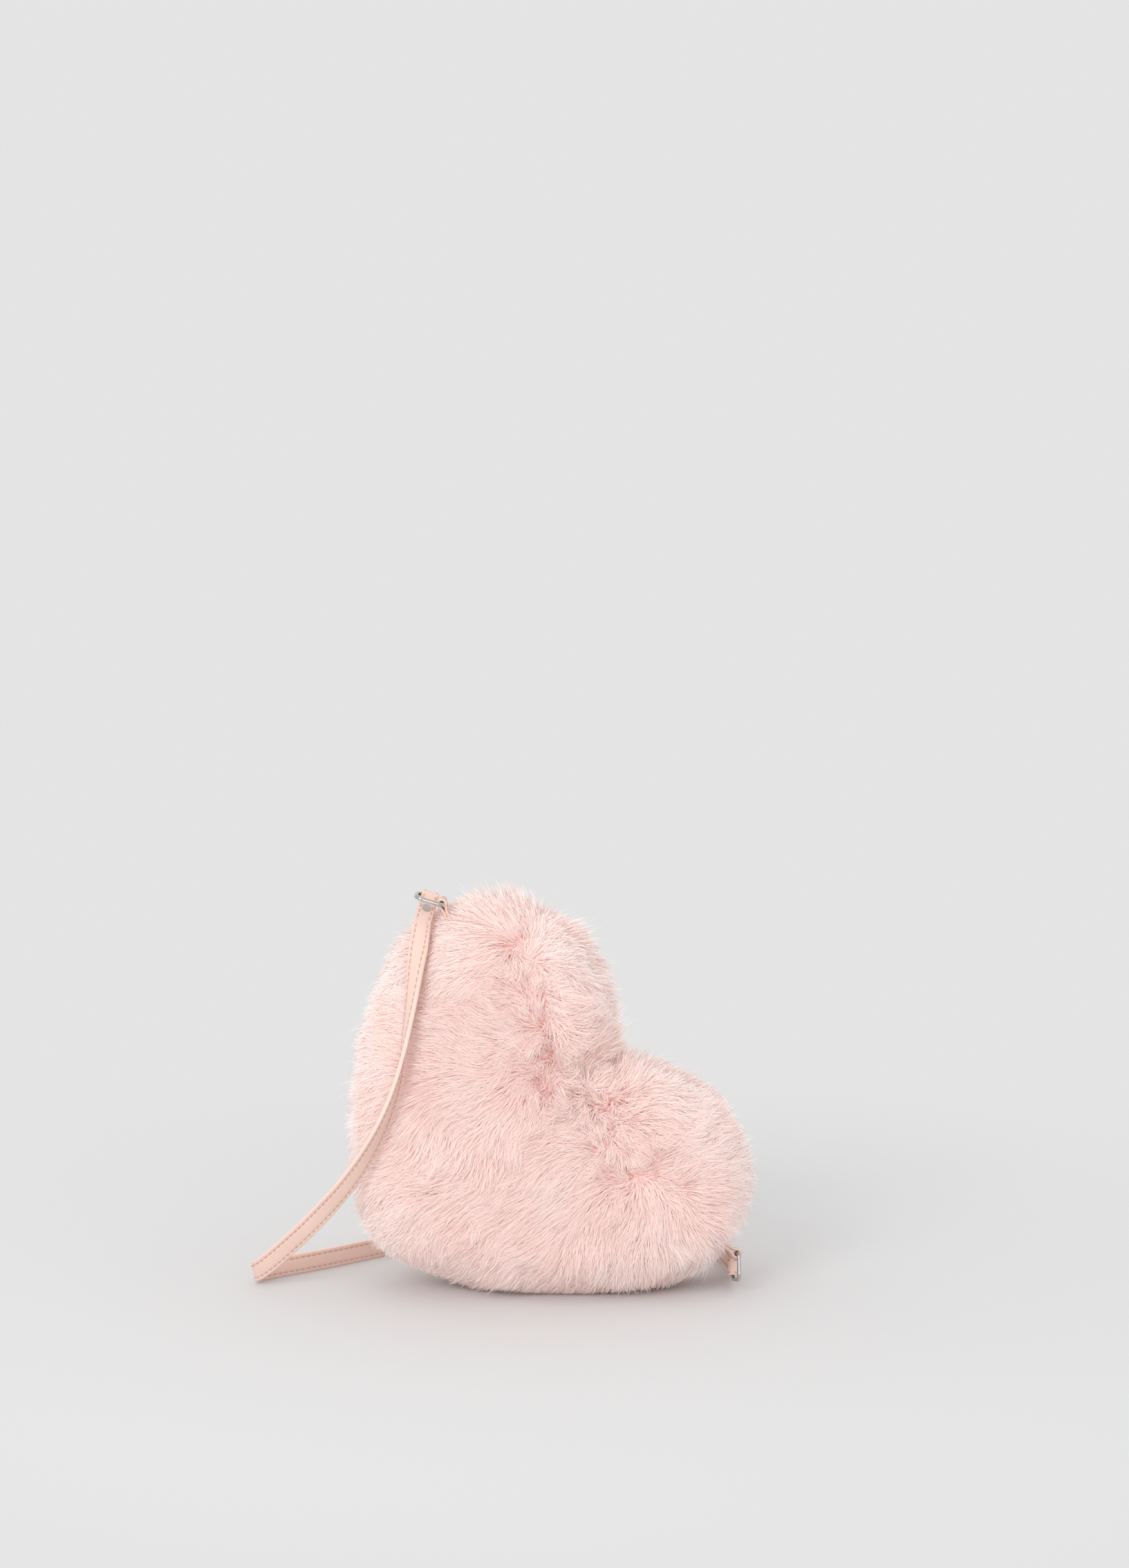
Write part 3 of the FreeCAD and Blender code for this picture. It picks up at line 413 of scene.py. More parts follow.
def half_width(along):
    """The strap narrows over its last stretch before each ring."""
    return END_HALF_WIDTH + (HALF_WIDTH - END_HALF_WIDTH) * from_ring(along)


def sweep_strap(name, chosen):
    """The stretch of strap at the chosen points of its line."""
    loop = [(w, h) for w, h in SECTION] + [(w, -h) for w, h in reversed(SECTION)]
    points = []
    for i in chosen:
        wide = half_width(strap_along[i])
        thick = MM * (1.13 - 0.13 * from_ring(strap_along[i]))
        for w, h in loop:
            points.append(strap_line[i] + across[i] * (w * wide) + facing[i] * (h * thick))
    size = len(loop)
    piece = smooth_piece(name, points, tube_faces(len(chosen), size, True), strap_leather)
    mesh = piece.data
    for edge in mesh.edges:
        edge.use_edge_sharp = max(edge.vertices) < size or min(edge.vertices) >= len(points) - size
    mesh.materials.append(edge_paint)
    edges = {len(SECTION) - 1, 2 * len(SECTION) - 1, 0, len(SECTION) - 2,
             len(SECTION), 2 * len(SECTION) - 2}
    for face in mesh.polygons[:(len(chosen) - 1) * size]:
        if face.index % size in edges:
            face.material_index = 1
    return piece


halfway = int(np.argmin(np.abs(shares - 14.45)))
front_points = list(range(0, halfway + 1))
back_points = list(range(halfway, len(strap_line)))
strap_front = sweep_strap("strap_front", front_points)
strap_back = sweep_strap("strap_back", back_points)
print("strap halves:", len(strap_front.data.polygons), len(strap_back.data.polygons), "faces")

# %% [markdown]
# ## Stitches
# Two rows of tan saddle stitches hold the plies. At this size they read as short dashes with a
# slight roundness, so each stitch is a small bead of thread half sunk in the leather, on both
# faces of the strap.

# %% Sew the strap
STITCH, PITCH, THREAD = 1.9 * MM, 2.7 * MM, 0.26 * MM
STITCH_FACES = tube_faces(4, 6)


def stitch_bead(points, faces, centre, run, side, up, length, radius):
    """One stitch: three rounds of thread with closed ends."""
    first = len(points)
    for shift, girth in ((-0.5, 0.45), (-0.25, 1.0), (0.25, 1.0), (0.5, 0.45)):
        for k in range(6):
            turn = k * math.pi / 3
            points.append(centre + run * (length * shift)
                          + (side * math.cos(turn) + up * math.sin(turn)) * (radius * girth))
    faces += [tuple(first + k for k in face) for face in STITCH_FACES]


def along_strap(values, where):
    """A row of vectors read at a length along the strap."""
    return np.array([np.interp(where, strap_along, values[:, k]) for k in range(3)])


def sew_strap(name, start, end):
    points, faces = [], []
    for where in np.arange(start + PITCH, end - PITCH / 2, PITCH):
        centre, run = along_strap(strap_line, where), along_strap(heading, where)
        side, up = along_strap(across, where), along_strap(facing, where)
        for row in (-1, 1):
            for face in (-1, 1):
                spot = centre + side * (row * SEAM_SHARE * half_width(where)) + up * (face * 0.8 * MM)
                stitch_bead(points, faces, spot, run, side, up, STITCH, THREAD)
    return smooth_piece(name, points, faces, thread_tan)


split_at = strap_along[halfway]
stitches_front = sew_strap("strap_stitches_front", TUCK, split_at)
stitches_back = sew_strap("strap_stitches_back", split_at, strap_along[-1] - TUCK)
print("stitches:", (len(stitches_front.data.polygons) + len(stitches_back.data.polygons)) // 20)

# %% Bake each half's placement into its mesh, and hide the model's strap runs
def attach_strap(piece):
    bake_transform(piece)


for piece in (strap_front, stitches_front):
    attach_strap(piece)
for piece in (strap_back, stitches_back):
    attach_strap(piece)
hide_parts("strap_front_run")
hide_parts("strap_back_run")
print("strap halves: %.0f and %.0f mm" % (split_at / MM, (strap_along[-1] - split_at) / MM))

# %% [markdown]
# ## Tabs and strap ends
# Each ring is held by a doubled leather tab sewn into the seam, and each end of the strap is
# folded round its ring and riveted to itself. Both are a strip bent like a keyhole: two plies side
# by side, with a round eye for the wire. Sweeping a rounded strip along that bend shows the ply
# edges, which a plain block would not.

# %% Fold leather round the wires
WIRE_ROUND = 1.05
STRIP_SECTION = [(-1.0, -0.55), (-1.0, 0.55), (-0.95, 1.0), (-0.6, 1.0), (0.6, 1.0), (0.95, 1.0),
                 (1.0, 0.55), (1.0, -0.55), (0.95, -1.0), (0.6, -1.0), (-0.6, -1.0), (-0.95, -1.0)]


def fold_line(ply, stem):
    """Middle line of one folded ply, in millimetres: along the stem and round the wire."""
    eye = WIRE_ROUND + ply / 2
    line = [(x, ply / 2) for x in np.linspace(stem, eye + 1.4, 8)]
    line += [(eye * math.cos(a), eye * math.sin(a)) for a in np.radians(np.arange(48, 313, 12))]
    return np.array(line + [(x, -z) for x, z in reversed(line[:8])])


def folded_leather(name, node, body, wire, stem_way, wire_way, ply, width, stem):
    x_axis = np.array(stem_way) / np.linalg.norm(stem_way)
    y_axis = np.array(wire_way) / np.linalg.norm(wire_way)
    z_axis = np.cross(x_axis, y_axis)
    line = fold_line(ply, stem)
    run = np.gradient(line, axis=0)
    run /= np.linalg.norm(run, axis=1)[:, None]
    points = []
    for (x, z), (rx, rz) in zip(line, run):
        for w, h in STRIP_SECTION:
            spot = np.array((x - rz * h * ply / 2, w * width / 2, z + rx * h * ply / 2)) * MM
            points.append(np.array(wire) * MM + x_axis * spot[0] + y_axis * spot[1] + z_axis * spot[2])
    faces = tube_faces(len(line), len(STRIP_SECTION))
    piece = smooth_piece(name, points, faces, strap_leather)
    rounding = piece.modifiers.new("soft_edges", "SUBSURF")
    rounding.levels = rounding.render_levels = 1
    dress(piece, body, node)
    sew_fold(name + "_stitches", body, wire, (x_axis, y_axis, z_axis), line, run, ply, width)


def sew_fold(name, body, wire, axes, line, run, ply, width):
    """Two rows of stitches on the outside of a fold."""
    along = np.concatenate([[0], np.cumsum(np.linalg.norm(np.diff(line, axis=0), axis=1))])
    points, faces = [], []
    for where in np.arange(1.6, along[-1] - 1.0, PITCH / MM):
        x, z = (np.interp(where, along, line[:, k]) for k in range(2))
        rx, rz = (np.interp(where, along, run[:, k]) for k in range(2))
        out = np.array((rz, 0, -rx))
        if out @ np.array((x - 4, 0, z)) < 0:
            out = -out
        way = axes[0] * rx + axes[2] * rz
        up = axes[0] * out[0] + axes[2] * out[2]
        for row in (-1, 1):
            spot = np.array((x, row * (width / 2 - 1.1), z)) + out * (ply / 2 - 0.08)
            centre = np.array(wire) * MM + (axes[0] * spot[0] + axes[1] * spot[1]
                                            + axes[2] * spot[2]) * MM
            stitch_bead(points, faces, centre, way, axes[1], up, STITCH, THREAD)
    dress(smooth_piece(name, points, faces, thread_tan), body)


folded_leather("left_tab_leather", "left_tab", "heart_body", (-42.859, -8.0, 156.861),
               (0.3907, 0, -0.9205), (0, 1, 0), 1.1, 6.4, 11.1)
folded_leather("right_tab_leather", "right_tab", "heart_body", (74.200, -8.0, 14.745),
               (-0.8192, 0, 0.5736), (-0.1581, 0.9613, -0.2258), 1.1, 6.4, 11.1)
folded_leather("left_strap_fold", "left_strap_end", "left_ring", (-47.832, -1.90, 158.381),
               LEFT_STEM, (-0.9563, 0, 0.2924), 1.0, 7.0, 14.0)
folded_leather("right_strap_fold", "right_strap_end", "right_ring", (73.240, -3.324, 8.306),
               RIGHT_STEM, (0.001, -0.2285, -0.9735), 1.0, 7.0, 14.0)
print("folded leather: 4 pieces with their stitches")

# %% [markdown]
# ## Metal and zip
# The rings, rivets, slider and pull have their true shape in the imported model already, so they only
# need a finish. The zip lies deep in the pile, where the photograph can't show it.

# %% Finish the metal and the zip
METAL = ["left_d_ring", "right_d_ring", "left_rivet_cap", "left_rivet_back", "right_rivet_cap",
         "right_rivet_back", "zip_slider", "zip_pull"]
TEETH = ["zip_teeth_front", "zip_teeth_back", "zip_bottom_stop", "zip_top_stops"]
for names, finish in ((METAL, plated), (TEETH, teeth_moulded)):
    for name in names:
        nodes[name].data.materials.clear()
        nodes[name].data.materials.append(finish)
print("finished:", len(METAL), "metal pieces,", len(TEETH), "zip pieces")

# %% [markdown]
# ## The padded heart
# Under the pile is a sewn bag: fur cloth outside, wadding, lining. Its outline is six arcs, the
# same as a pattern maker would draw: two lobes, two flanks, the point and the notch. Rounding the
# rim and blowing the bag up with a short cloth simulation gives the crowned faces of a stuffed
# heart, and then it is flattened where it stands.

# %% Outline of the heart
LOBE_X, LOBE_Y, LOBE_R, FLANK_R, TIP_R, NOTCH_R = 44.0, 96.0, 46.0, 160.0, 32.0, 5.0
HALF_DEPTH, RIM_R = 30.0, 29.0
STAND_ANGLE, STAND_X, STAND_Z = math.radians(50), -68.5805, 15.4226


def heart_arcs():
    """Centre, radius, first and last angle of each arc, and 1 outside or -1 in the notch."""
    lobe, tip = np.array((LOBE_X, LOBE_Y)), np.array((0, TIP_R))
    span = tip - lobe
    length = np.linalg.norm(span)
    along = ((FLANK_R - LOBE_R) ** 2 - (FLANK_R - TIP_R) ** 2 + length ** 2) / (2 * length)
    aside = math.sqrt((FLANK_R - LOBE_R) ** 2 - along ** 2)
    unit = span / length
    flank = lobe + unit * along + np.array((unit[1], -unit[0])) * aside
    rise = math.sqrt((LOBE_R + NOTCH_R) ** 2 - LOBE_X ** 2)
    top = math.atan2(rise, -LOBE_X)
    low = math.atan2(*(lobe - flank)[::-1])
    end = math.atan2(*(tip - flank)[::-1])
    return [
        (lobe, LOBE_R, low, top, 1),
        (np.array((0, LOBE_Y + rise)), NOTCH_R, top + math.pi, 2 * math.pi - top, -1),
        (lobe * (-1, 1), LOBE_R, math.pi - top, math.pi - low, 1),
        (flank * (-1, 1), FLANK_R, math.pi - low, math.pi - end, 1),
        (tip, TIP_R, math.pi - end, 2 * math.pi + end, 1),
        (flank, FLANK_R, end, low, 1),
    ]


def heart_outline(step):
    """Points about a step apart along the outline, with their outward directions."""
    points, outs = [], []
    for centre, radius, first, last, sign in heart_arcs():
        count = max(4, int(abs(last - first) * max(radius, 12) / step))
        for angle in np.linspace(first, last, count, endpoint=False):
            ray = np.array((math.cos(angle), math.sin(angle)))
            points.append(centre + ray * radius)
            outs.append(ray * sign)
    return np.array(points), np.array(outs)


def stand(u, y, v):
    """A point of the upright heart, in millimetres, where it stands, in metres."""
    x = u * math.cos(STAND_ANGLE) + v * math.sin(STAND_ANGLE) + STAND_X
    z = v * math.cos(STAND_ANGLE) - u * math.sin(STAND_ANGLE) + STAND_Z
    return np.stack([x, y + 0 * x, z], axis=-1) * MM


outline, outward = heart_outline(3.0)
print("outline: %d points" % len(outline))


# %% Bag of one layer
def heart_bag(name, inset, voxel):
    """Closed heart at a depth below the pressed fur, remeshed to even quads."""
    rim = RIM_R - inset
    rows = []
    for turn in np.radians(np.arange(-90, 91, 15)):
        spots = outline - outward * (inset + rim * (1 - math.cos(turn)))
        depth = (HALF_DEPTH - RIM_R) * np.sign(turn) + rim * math.sin(turn)
        rows.append(stand(spots[:, 0], depth, spots[:, 1]))
    faces = tube_faces(len(rows), len(outline), True)
    mesh = mesh_of(name, np.concatenate(rows), faces[-2:] + faces[:-2])
    piece = new_piece(name, mesh, fur_backing)
    remesh = piece.modifiers.new("even_quads", "REMESH")
    remesh.mode = "VOXEL"
    remesh.voxel_size = voxel * MM
    even = applied(piece)
    bpy.data.objects.remove(piece)
    return even


def applied(piece):
    """The piece's mesh with its modifiers applied."""
    depsgraph = bpy.context.evaluated_depsgraph_get()
    return bpy.data.meshes.new_from_object(piece.evaluated_get(depsgraph))


def places(mesh):
    found = np.empty(len(mesh.vertices) * 3)
    mesh.vertices.foreach_get("co", found)
    return found.reshape(-1, 3)


def put_places(mesh, found):
    mesh.vertices.foreach_set("co", np.ascontiguousarray(found).ravel())
    mesh.update()


def flatten(mesh, floor):
    """Press the bag flat where it stands."""
    found = places(mesh)
    found[:, 2] = np.maximum(found[:, 2], floor * MM)
    put_places(mesh, found)


bag = heart_bag("fur_bag", 2.8, 4.0)
print("fur bag: %d points" % len(bag.vertices))


# %% Blow the bag up like stuffing does
def puff_up(mesh, cap):
    """Cloth under pressure for a few frames; no point moves further than the cap."""
    start = places(mesh)
    piece = new_piece("stuffed", mesh, fur_backing)
    cloth = piece.modifiers.new("stuffing", "CLOTH").settings
    cloth.use_pressure = True
    cloth.uniform_pressure_force = 4
    cloth.effector_weights.gravity = 0
    for number in range(1, 21):
        scene.frame_set(number)
    moved = places(applied(piece)) - start
    scene.frame_set(1)
    bpy.data.objects.remove(piece)
    reach = np.linalg.norm(moved, axis=1)[:, None]
    moved *= np.minimum(1, cap * MM / np.maximum(reach, 1e-9))
    put_places(mesh, start + moved)
    return float(reach.max() / MM)


print("stuffing moved the bag by up to %.1f mm" % puff_up(bag, 1.5))
flatten(bag, 1.6)

# %% [markdown]
# ## Panels of the bag
# The bag is sewn from a front, a back and a band between them, in fur, in wadding and in lining.
# Cutting each layer at the two seams gives those panels, and the zip's slot is left open in the
# band.

# %% Cut a layer into its panels
GUSSET_HALF, SLOT_HALF = 12.0, 3.7
LEFT_LOBE = np.array((-23.323, 110.836))


def in_zip_slot(found):
    """True where a point in metres is over the zip's opening."""
    away = found[:, [0, 2]] / MM - LEFT_LOBE
    angle = np.degrees(np.arctan2(away[:, 1], away[:, 0]))
    far = np.linalg.norm(away, axis=1)
    return (np.abs(found[:, 1]) < SLOT_HALF * MM) & (angle > -10) & (angle < 98) & (far > 25)


def panel(name, node, mesh, low, high, finish, thickness):
    """The part of a layer between two depths, with a real thickness."""
    work = bmesh.new()
    work.from_mesh(mesh)
    cuts = [(low, "inner"), (high, "outer"), (-SLOT_HALF, None), (SLOT_HALF, None)]
    for depth, side in cuts:
        if abs(depth) < 100:
            bmesh.ops.bisect_plane(
                work, geom=work.verts[:] + work.edges[:] + work.faces[:],
                plane_co=(0, depth * MM, 0), plane_no=(0, 1, 0),
                clear_inner=side == "inner", clear_outer=side == "outer")
    centres = np.array([face.calc_center_median() for face in work.faces])
    open_faces = [face for face, gone in zip(work.faces[:], in_zip_slot(centres)) if gone]
    bmesh.ops.delete(work, geom=open_faces, context="FACES")
    part = bpy.data.meshes.new(name)
    work.to_mesh(part)
    work.free()
    smooth(part)
    piece = new_piece(name, part, finish)
    solid = piece.modifiers.new("cloth", "SOLIDIFY")
    solid.thickness = thickness * MM
    solid.offset = -1
    dress(piece, "heart_body", node)
    return piece


PANELS = [("front", -200, -GUSSET_HALF), ("gusset", -GUSSET_HALF, GUSSET_HALF),
          ("back", GUSSET_HALF, 200)]
FUR_NODES = {"front": "front_fur_panel", "gusset": "fur_gusset", "back": "back_fur_panel"}
wadding_bag = heart_bag("wadding_bag", 7.6, 4.0)
flatten(wadding_bag, 7.6)
lining_bag = heart_bag("lining_bag", 10.8, 4.0)
flatten(lining_bag, 10.8)
for part, low, high in PANELS:
    panel(part + "_fur_skin", FUR_NODES[part], bag, low, high, fur_backing, 1.4)
    panel(part + "_wadding_pad", part + "_wadding", wadding_bag, low, high,
                    wadding_fleece, 2.6)
    cloth = panel(part + "_lining_cloth", part + "_lining", lining_bag, low, high, lining_satin,
                  0.8)
print("panels:", 3 * len(PANELS))

# %% [markdown]
# ## Zip tapes
# Two woven tapes lie side by side under the fur with the teeth between them. Each is a narrow curved
# strip that follows the lobe, with a slightly thicker edge where the teeth are moulded on.

# %% Weave the zip tapes
TAPE_RADIUS, TAPE_FROM, TAPE_TO = 39.3, -11.5, 99.5
TAPE_SECTION = [(1.4, 0.4), (1.6, 0.4), (2.4, 0.38), (2.8, 0.3), (5.0, 0.3), (8.6, 0.3), (9.0, 0.25)]


def zip_tape(name, node, side):
    loop = TAPE_SECTION + [(w, -h) for w, h in reversed(TAPE_SECTION)]
    points = []
    turns = np.radians(np.linspace(TAPE_FROM, TAPE_TO, 75))
    for turn in turns:
        for w, h in loop:
            far = TAPE_RADIUS + h
            points.append((
                (LEFT_LOBE[0] + far * math.cos(turn)) * MM, side * w * MM,
                (LEFT_LOBE[1] + far * math.sin(turn)) * MM))
    faces = tube_faces(len(turns), len(loop), side < 0)
    dress(smooth_piece(name, points, faces, tape_weave), "heart_body", node)


zip_tape("front_zip_tape", "zip_tape_front", -1)
zip_tape("back_zip_tape", "zip_tape_back", 1)
print("zip tapes: 2")

# %% [markdown]
# ## The pile
# Long faux fur is what this purse is about. Blender's hair is not a mesh and would be lost when
# the model is exported, so each hair here is a thin tapered ribbon with its own bend. The hairs
# part along a crooked line on the front and fall away from it, they gather in small locks, and they
# stand more upright at the parting and round the rim. A fringe beside the zip covers it. Hairs that
# would run into the strap or the metal are pressed flat or left out. Every hair carries two numbers
# in its UV map: a tint of its own with painted rim light added, paler towards the heart's rim, and
# how far along it a point is, from root to tip. Along that number the roots are darker, painted
# shade between the locks, and the tips paler, painted light shining through them.

# %% Colour of the pile, with painted shade at the roots and painted light at the tips and rim
pile, pile_tree, pile_shader = new_material(
    "faux_fur_pile", 0.72, Specular_IOR_Level=0.22, Sheen_Weight=0.25, Sheen_Roughness=0.5)
pile_shader.inputs["Sheen Tint"].default_value = (1.0, 0.88, 0.84, 1)
pile_uv = pile_tree.nodes.new("ShaderNodeUVMap")
pile_uv.uv_map = "OFBake"
pile_split = pile_tree.nodes.new("ShaderNodeSeparateXYZ")
# Along each hair the colour runs from darker roots, which are painted shade between the locks, to paler
# tips, which are painted light shining through the tips.
pile_root_shade_tip_light = pile_tree.nodes.new("ShaderNodeValToRGB")
ramp = pile_root_shade_tip_light.color_ramp
ramp.elements[0].position, ramp.elements[0].color = 0.0, (0.975, 0.78, 0.74, 1)
ramp.elements[1].position, ramp.elements[1].color = 1.0, (0.985, 0.885, 0.854, 1)
middle = ramp.elements.new(0.45)
middle.color = (0.98, 0.842, 0.807, 1)
# The second ramp gives each hair its tint. Higher numbers are paler, and they carry painted rim light
# as well as the hair's own random tint.
pile_tint_and_rim_light = pile_tree.nodes.new("ShaderNodeValToRGB")
tint_and_rim_light_ramp = pile_tint_and_rim_light.color_ramp
tint_and_rim_light_ramp.elements[0].position, tint_and_rim_light_ramp.elements[0].color = 0.0, (0.975, 0.88, 0.86, 1)
tint_and_rim_light_ramp.elements[1].position, tint_and_rim_light_ramp.elements[1].color = 1.0, (1.0, 1.035, 1.045, 1)
pile_mix = pile_tree.nodes.new("ShaderNodeMix")
pile_mix.data_type = "RGBA"
pile_mix.blend_type = "MULTIPLY"
pile_mix.inputs["Factor"].default_value = 1.0
link(pile_tree, (pile_uv, "UV", pile_split, "Vector"), (pile_split, "Y", pile_root_shade_tip_light, "Fac"),
     (pile_split, "X", pile_tint_and_rim_light, "Fac"), (pile_root_shade_tip_light, "Color", pile_mix, "A"),
     (pile_tint_and_rim_light, "Color", pile_mix, "B"), (pile_mix, "Result", pile_shader, "Base Color"))
print("finish:", pile.name)

# %% Roots on the fur cloth
bag.calc_loop_triangles()
bag_points = places(bag)
bag_normals = np.array([v.normal for v in bag.vertices])
corners = np.array([t.vertices for t in bag.loop_triangles])
chance = np.random.default_rng(7)


def sow(count, keep):
    """Random roots, even over the cloth where keep says so, with their outward directions."""
    middles = bag_points[corners].mean(axis=1)
    edge_a = bag_points[corners[:, 1]] - bag_points[corners[:, 0]]
    edge_b = bag_points[corners[:, 2]] - bag_points[corners[:, 0]]
    size = np.linalg.norm(np.cross(edge_a, edge_b), axis=1) * keep(middles)
    chosen = chance.choice(len(corners), size=count, p=size / size.sum())
    a, b = chance.random(count), chance.random(count)
    over = a + b > 1
    a[over], b[over] = 1 - a[over], 1 - b[over]
    shares_of = np.stack([1 - a - b, a, b], axis=1)[:, :, None]
    spots = (bag_points[corners[chosen]] * shares_of).sum(axis=1)
    out = (bag_normals[corners[chosen]] * shares_of).sum(axis=1)
    return spots, out / np.linalg.norm(out, axis=1)[:, None]


def drift(spots, wavelength, seed):
    """A smooth random number between about -1 and 1 at each place."""
    waves = np.random.default_rng(seed)
    total = 0
    for _ in range(7):
        way = waves.normal(size=3)
        way *= waves.uniform(0.7, 1.4) * 2 * math.pi / (wavelength * MM * np.linalg.norm(way))
        total = total + np.sin(spots @ way + waves.uniform(0, 2 * math.pi))
    return total / 3.2


print("fur cloth: %d triangles to root in" % len(corners))

# %% How the pile lies
PARTING = np.array([(-8, 142), (-6, 130), (-7, 118), (-4, 104), (-2, 92), (10, 84), (23, 74),
                    (28, 62), (34, 53), (40, 49)]) * MM
NOTCH, TUFT, LOW_LEFT = (np.array(spot) * MM for spot in ((22, 92), (-10, 154), (-50, 14)))


def from_parting(spots):
    """Direction and distance from the nearest place on the parting, seen from the front."""
    crooked = np.stack([drift(spots, 24, 31), drift(spots, 28, 32)], axis=1) * (4 * MM)
    flat = spots[:, [0, 2]] + crooked
    away, near = None, None
    for a, b in zip(PARTING[:-1], PARTING[1:]):
        leg = b - a
        part = np.clip((flat - a) @ leg / (leg @ leg), 0, 1)
        step = flat - a - part[:, None] * leg
        far = np.linalg.norm(step, axis=1)
        if near is None:
            away, near = step, far
        else:
            closer = far < near
            away[closer], near[closer] = step[closer], far[closer]
    return away / np.maximum(near, 1e-6)[:, None], near


def near_spot(spots, spot, reach):
    """1 at a spot seen from the front, falling to 0 beyond the reach."""
    return np.exp(-((spots[:, [0, 2]] - spot) ** 2).sum(axis=1) / (reach * MM) ** 2)


def lie_of_pile(spots, out):
    """The way each hair falls along the cloth, and how far it leans, in degrees."""
    away, near = from_parting(spots)
    way = np.stack([away[:, 0], 0 * near, away[:, 1]], axis=1)
    way[:, 2] -= 0.30 * np.clip((0.10 - spots[:, 2]) / 0.06, 0, 1)
    way[:, 0] -= 0.25 * np.clip((0.03 - spots[:, 0]) / 0.06, 0, 1)
    rim = 1 - np.clip(np.abs(spots[:, 1]) / (22 * MM), 0, 1)
    way[:, 1] -= 1.1 * np.tanh(spots[:, 1] / (3 * MM)) * np.clip(1.6 * rim, 0, 1)
    way[:, 2] -= 0.35 * rim
    way -= out * (way * out).sum(axis=1)[:, None]
    way /= np.maximum(np.linalg.norm(way, axis=1), 1e-9)[:, None]
    mussed = np.exp(-(near / (8 * MM)) ** 2)
    turn = 0.40 * drift(spots, 46, 21) + 0.40 * drift(spots, 16, 22) + 0.16 * drift(spots, 7, 23)
    turn += chance.normal(0, 0.10, len(spots))
    turn += mussed * (1.9 * drift(spots, 12, 27) + chance.normal(0, 0.4, len(spots)))
    side = np.cross(out, way)
    way = way * np.cos(turn)[:, None] + side * np.sin(turn)[:, None]
    low = np.clip(1 - spots[:, 2] / (26 * MM), 0, 1)
    fluffy = near_spot(spots, NOTCH, 15) + 0.4 * near_spot(spots, TUFT, 10)
    lean = 76 - 14 * mussed - 24 * rim + 5 * drift(spots, 13, 24) + 8 * low - 20 * fluffy
    return way, np.clip(lean, 20, 84), mussed, rim, low, fluffy


print("parting: %d points" % len(PARTING))

# %% Grow the hairs
STEPS = 4


def grow(spots, out, extra, upright):
    """Middle lines of the hairs: count x (STEPS + 1) x 3; upright is the share of lean taken off."""
    way, lean, mussed, rim, low, fluffy = lie_of_pile(spots, out)
    lean = lean * (1 - upright)
    count = len(spots)
    uneven = chance.normal(0, 1.1, count) * (1 + 1.2 * rim)
    length = (12.0 + 1.2 * drift(spots, 24, 25) - 6.5 * rim + uneven) * MM
    length *= (1 - 0.40 * mussed) * (1 - 0.3 * low) * (1 + 0.6 * fluffy)
    length *= 1 - 0.55 * near_spot(spots, LOW_LEFT, 22)
    length = np.minimum(np.clip(length, 3.6 * MM, 18 * MM) * extra, 19 * MM)
    round_rim = np.clip((27 * MM - np.abs(spots[:, 1])) / (8 * MM), 0.2, 1)
    wild = chance.normal(0, 5, count) * (1 + 1.6 * rim)
    swing = chance.normal(0, 0.16, count)
    side = np.cross(out, way)
    line = [spots - out * 0.3 * MM]
    for k in range(STEPS):
        tilt = lean * (0.70 + 0.15 * k) + wild + 6 * k * round_rim
        tilt = np.radians(np.clip(tilt, 4, 108))[:, None]
        bend = (swing * (0.4 + 0.4 * k))[:, None]
        ahead = way * np.cos(bend) + side * np.sin(bend)
        step = out * np.cos(tilt) + ahead * np.sin(tilt)
        line.append(line[-1] + step * (length / STEPS)[:, None])
    return np.stack(line, axis=1)


def gather(lines, per_lock, pull_low, pull_high):
    """Draw the tips of neighbouring hairs together into locks; also gives each lock's tint."""
    count = len(lines)
    leads = chance.choice(count, size=max(2, count // per_lock), replace=False)
    tree = kdtree.KDTree(len(leads))
    for k, lead in enumerate(leads):
        tree.insert(lines[lead, 0], k)
    tree.balance()
    lock = np.array([tree.find(p)[1] for p in lines[:, 0]])
    pull = chance.uniform(pull_low, pull_high, len(leads))[lock]
    share = (np.arange(STEPS + 1) / STEPS) ** 1.4
    to_lead = lines[leads[lock]] - lines
    gathered = lines + to_lead * (pull[:, None] * share)[:, :, None]
    return gathered, chance.random(len(leads))[lock]


def touching(lines, hard):
    """True for hairs that come too near to the strap or the metal."""
    hits = np.zeros(len(lines), bool)
    for tree, gap, low, high in hard:
        inside = ((lines[:, 1:] > low - gap) & (lines[:, 1:] < high + gap)).all(axis=2).any(axis=1)
        for k in np.nonzero(inside & ~hits)[0]:
            hits[k] = any(tree.find(place)[2] < gap for place in lines[k, 1:])
    return hits


def lie_under(lines, out, hard):
    """Press hairs flat under the strap and the metal, and leave out those that still touch."""
    lines = lines.copy()
    clear = np.ones(len(lines), bool)
    todo = np.nonzero(touching(lines, hard))[0]
    for flat in (0.6, 0.35):
        away = lines[todo] - lines[todo, :1]
        height = (away * out[todo, None]).sum(axis=2)
        pressed = lines[todo] - out[todo, None] * (height * (1 - flat))[:, :, None]
        free = ~touching(pressed, hard)
        lines[todo[free]] = pressed[free]
        todo = todo[~free]
    clear[todo] = False
    return lines, clear


print("hairs have %d parts each" % STEPS)


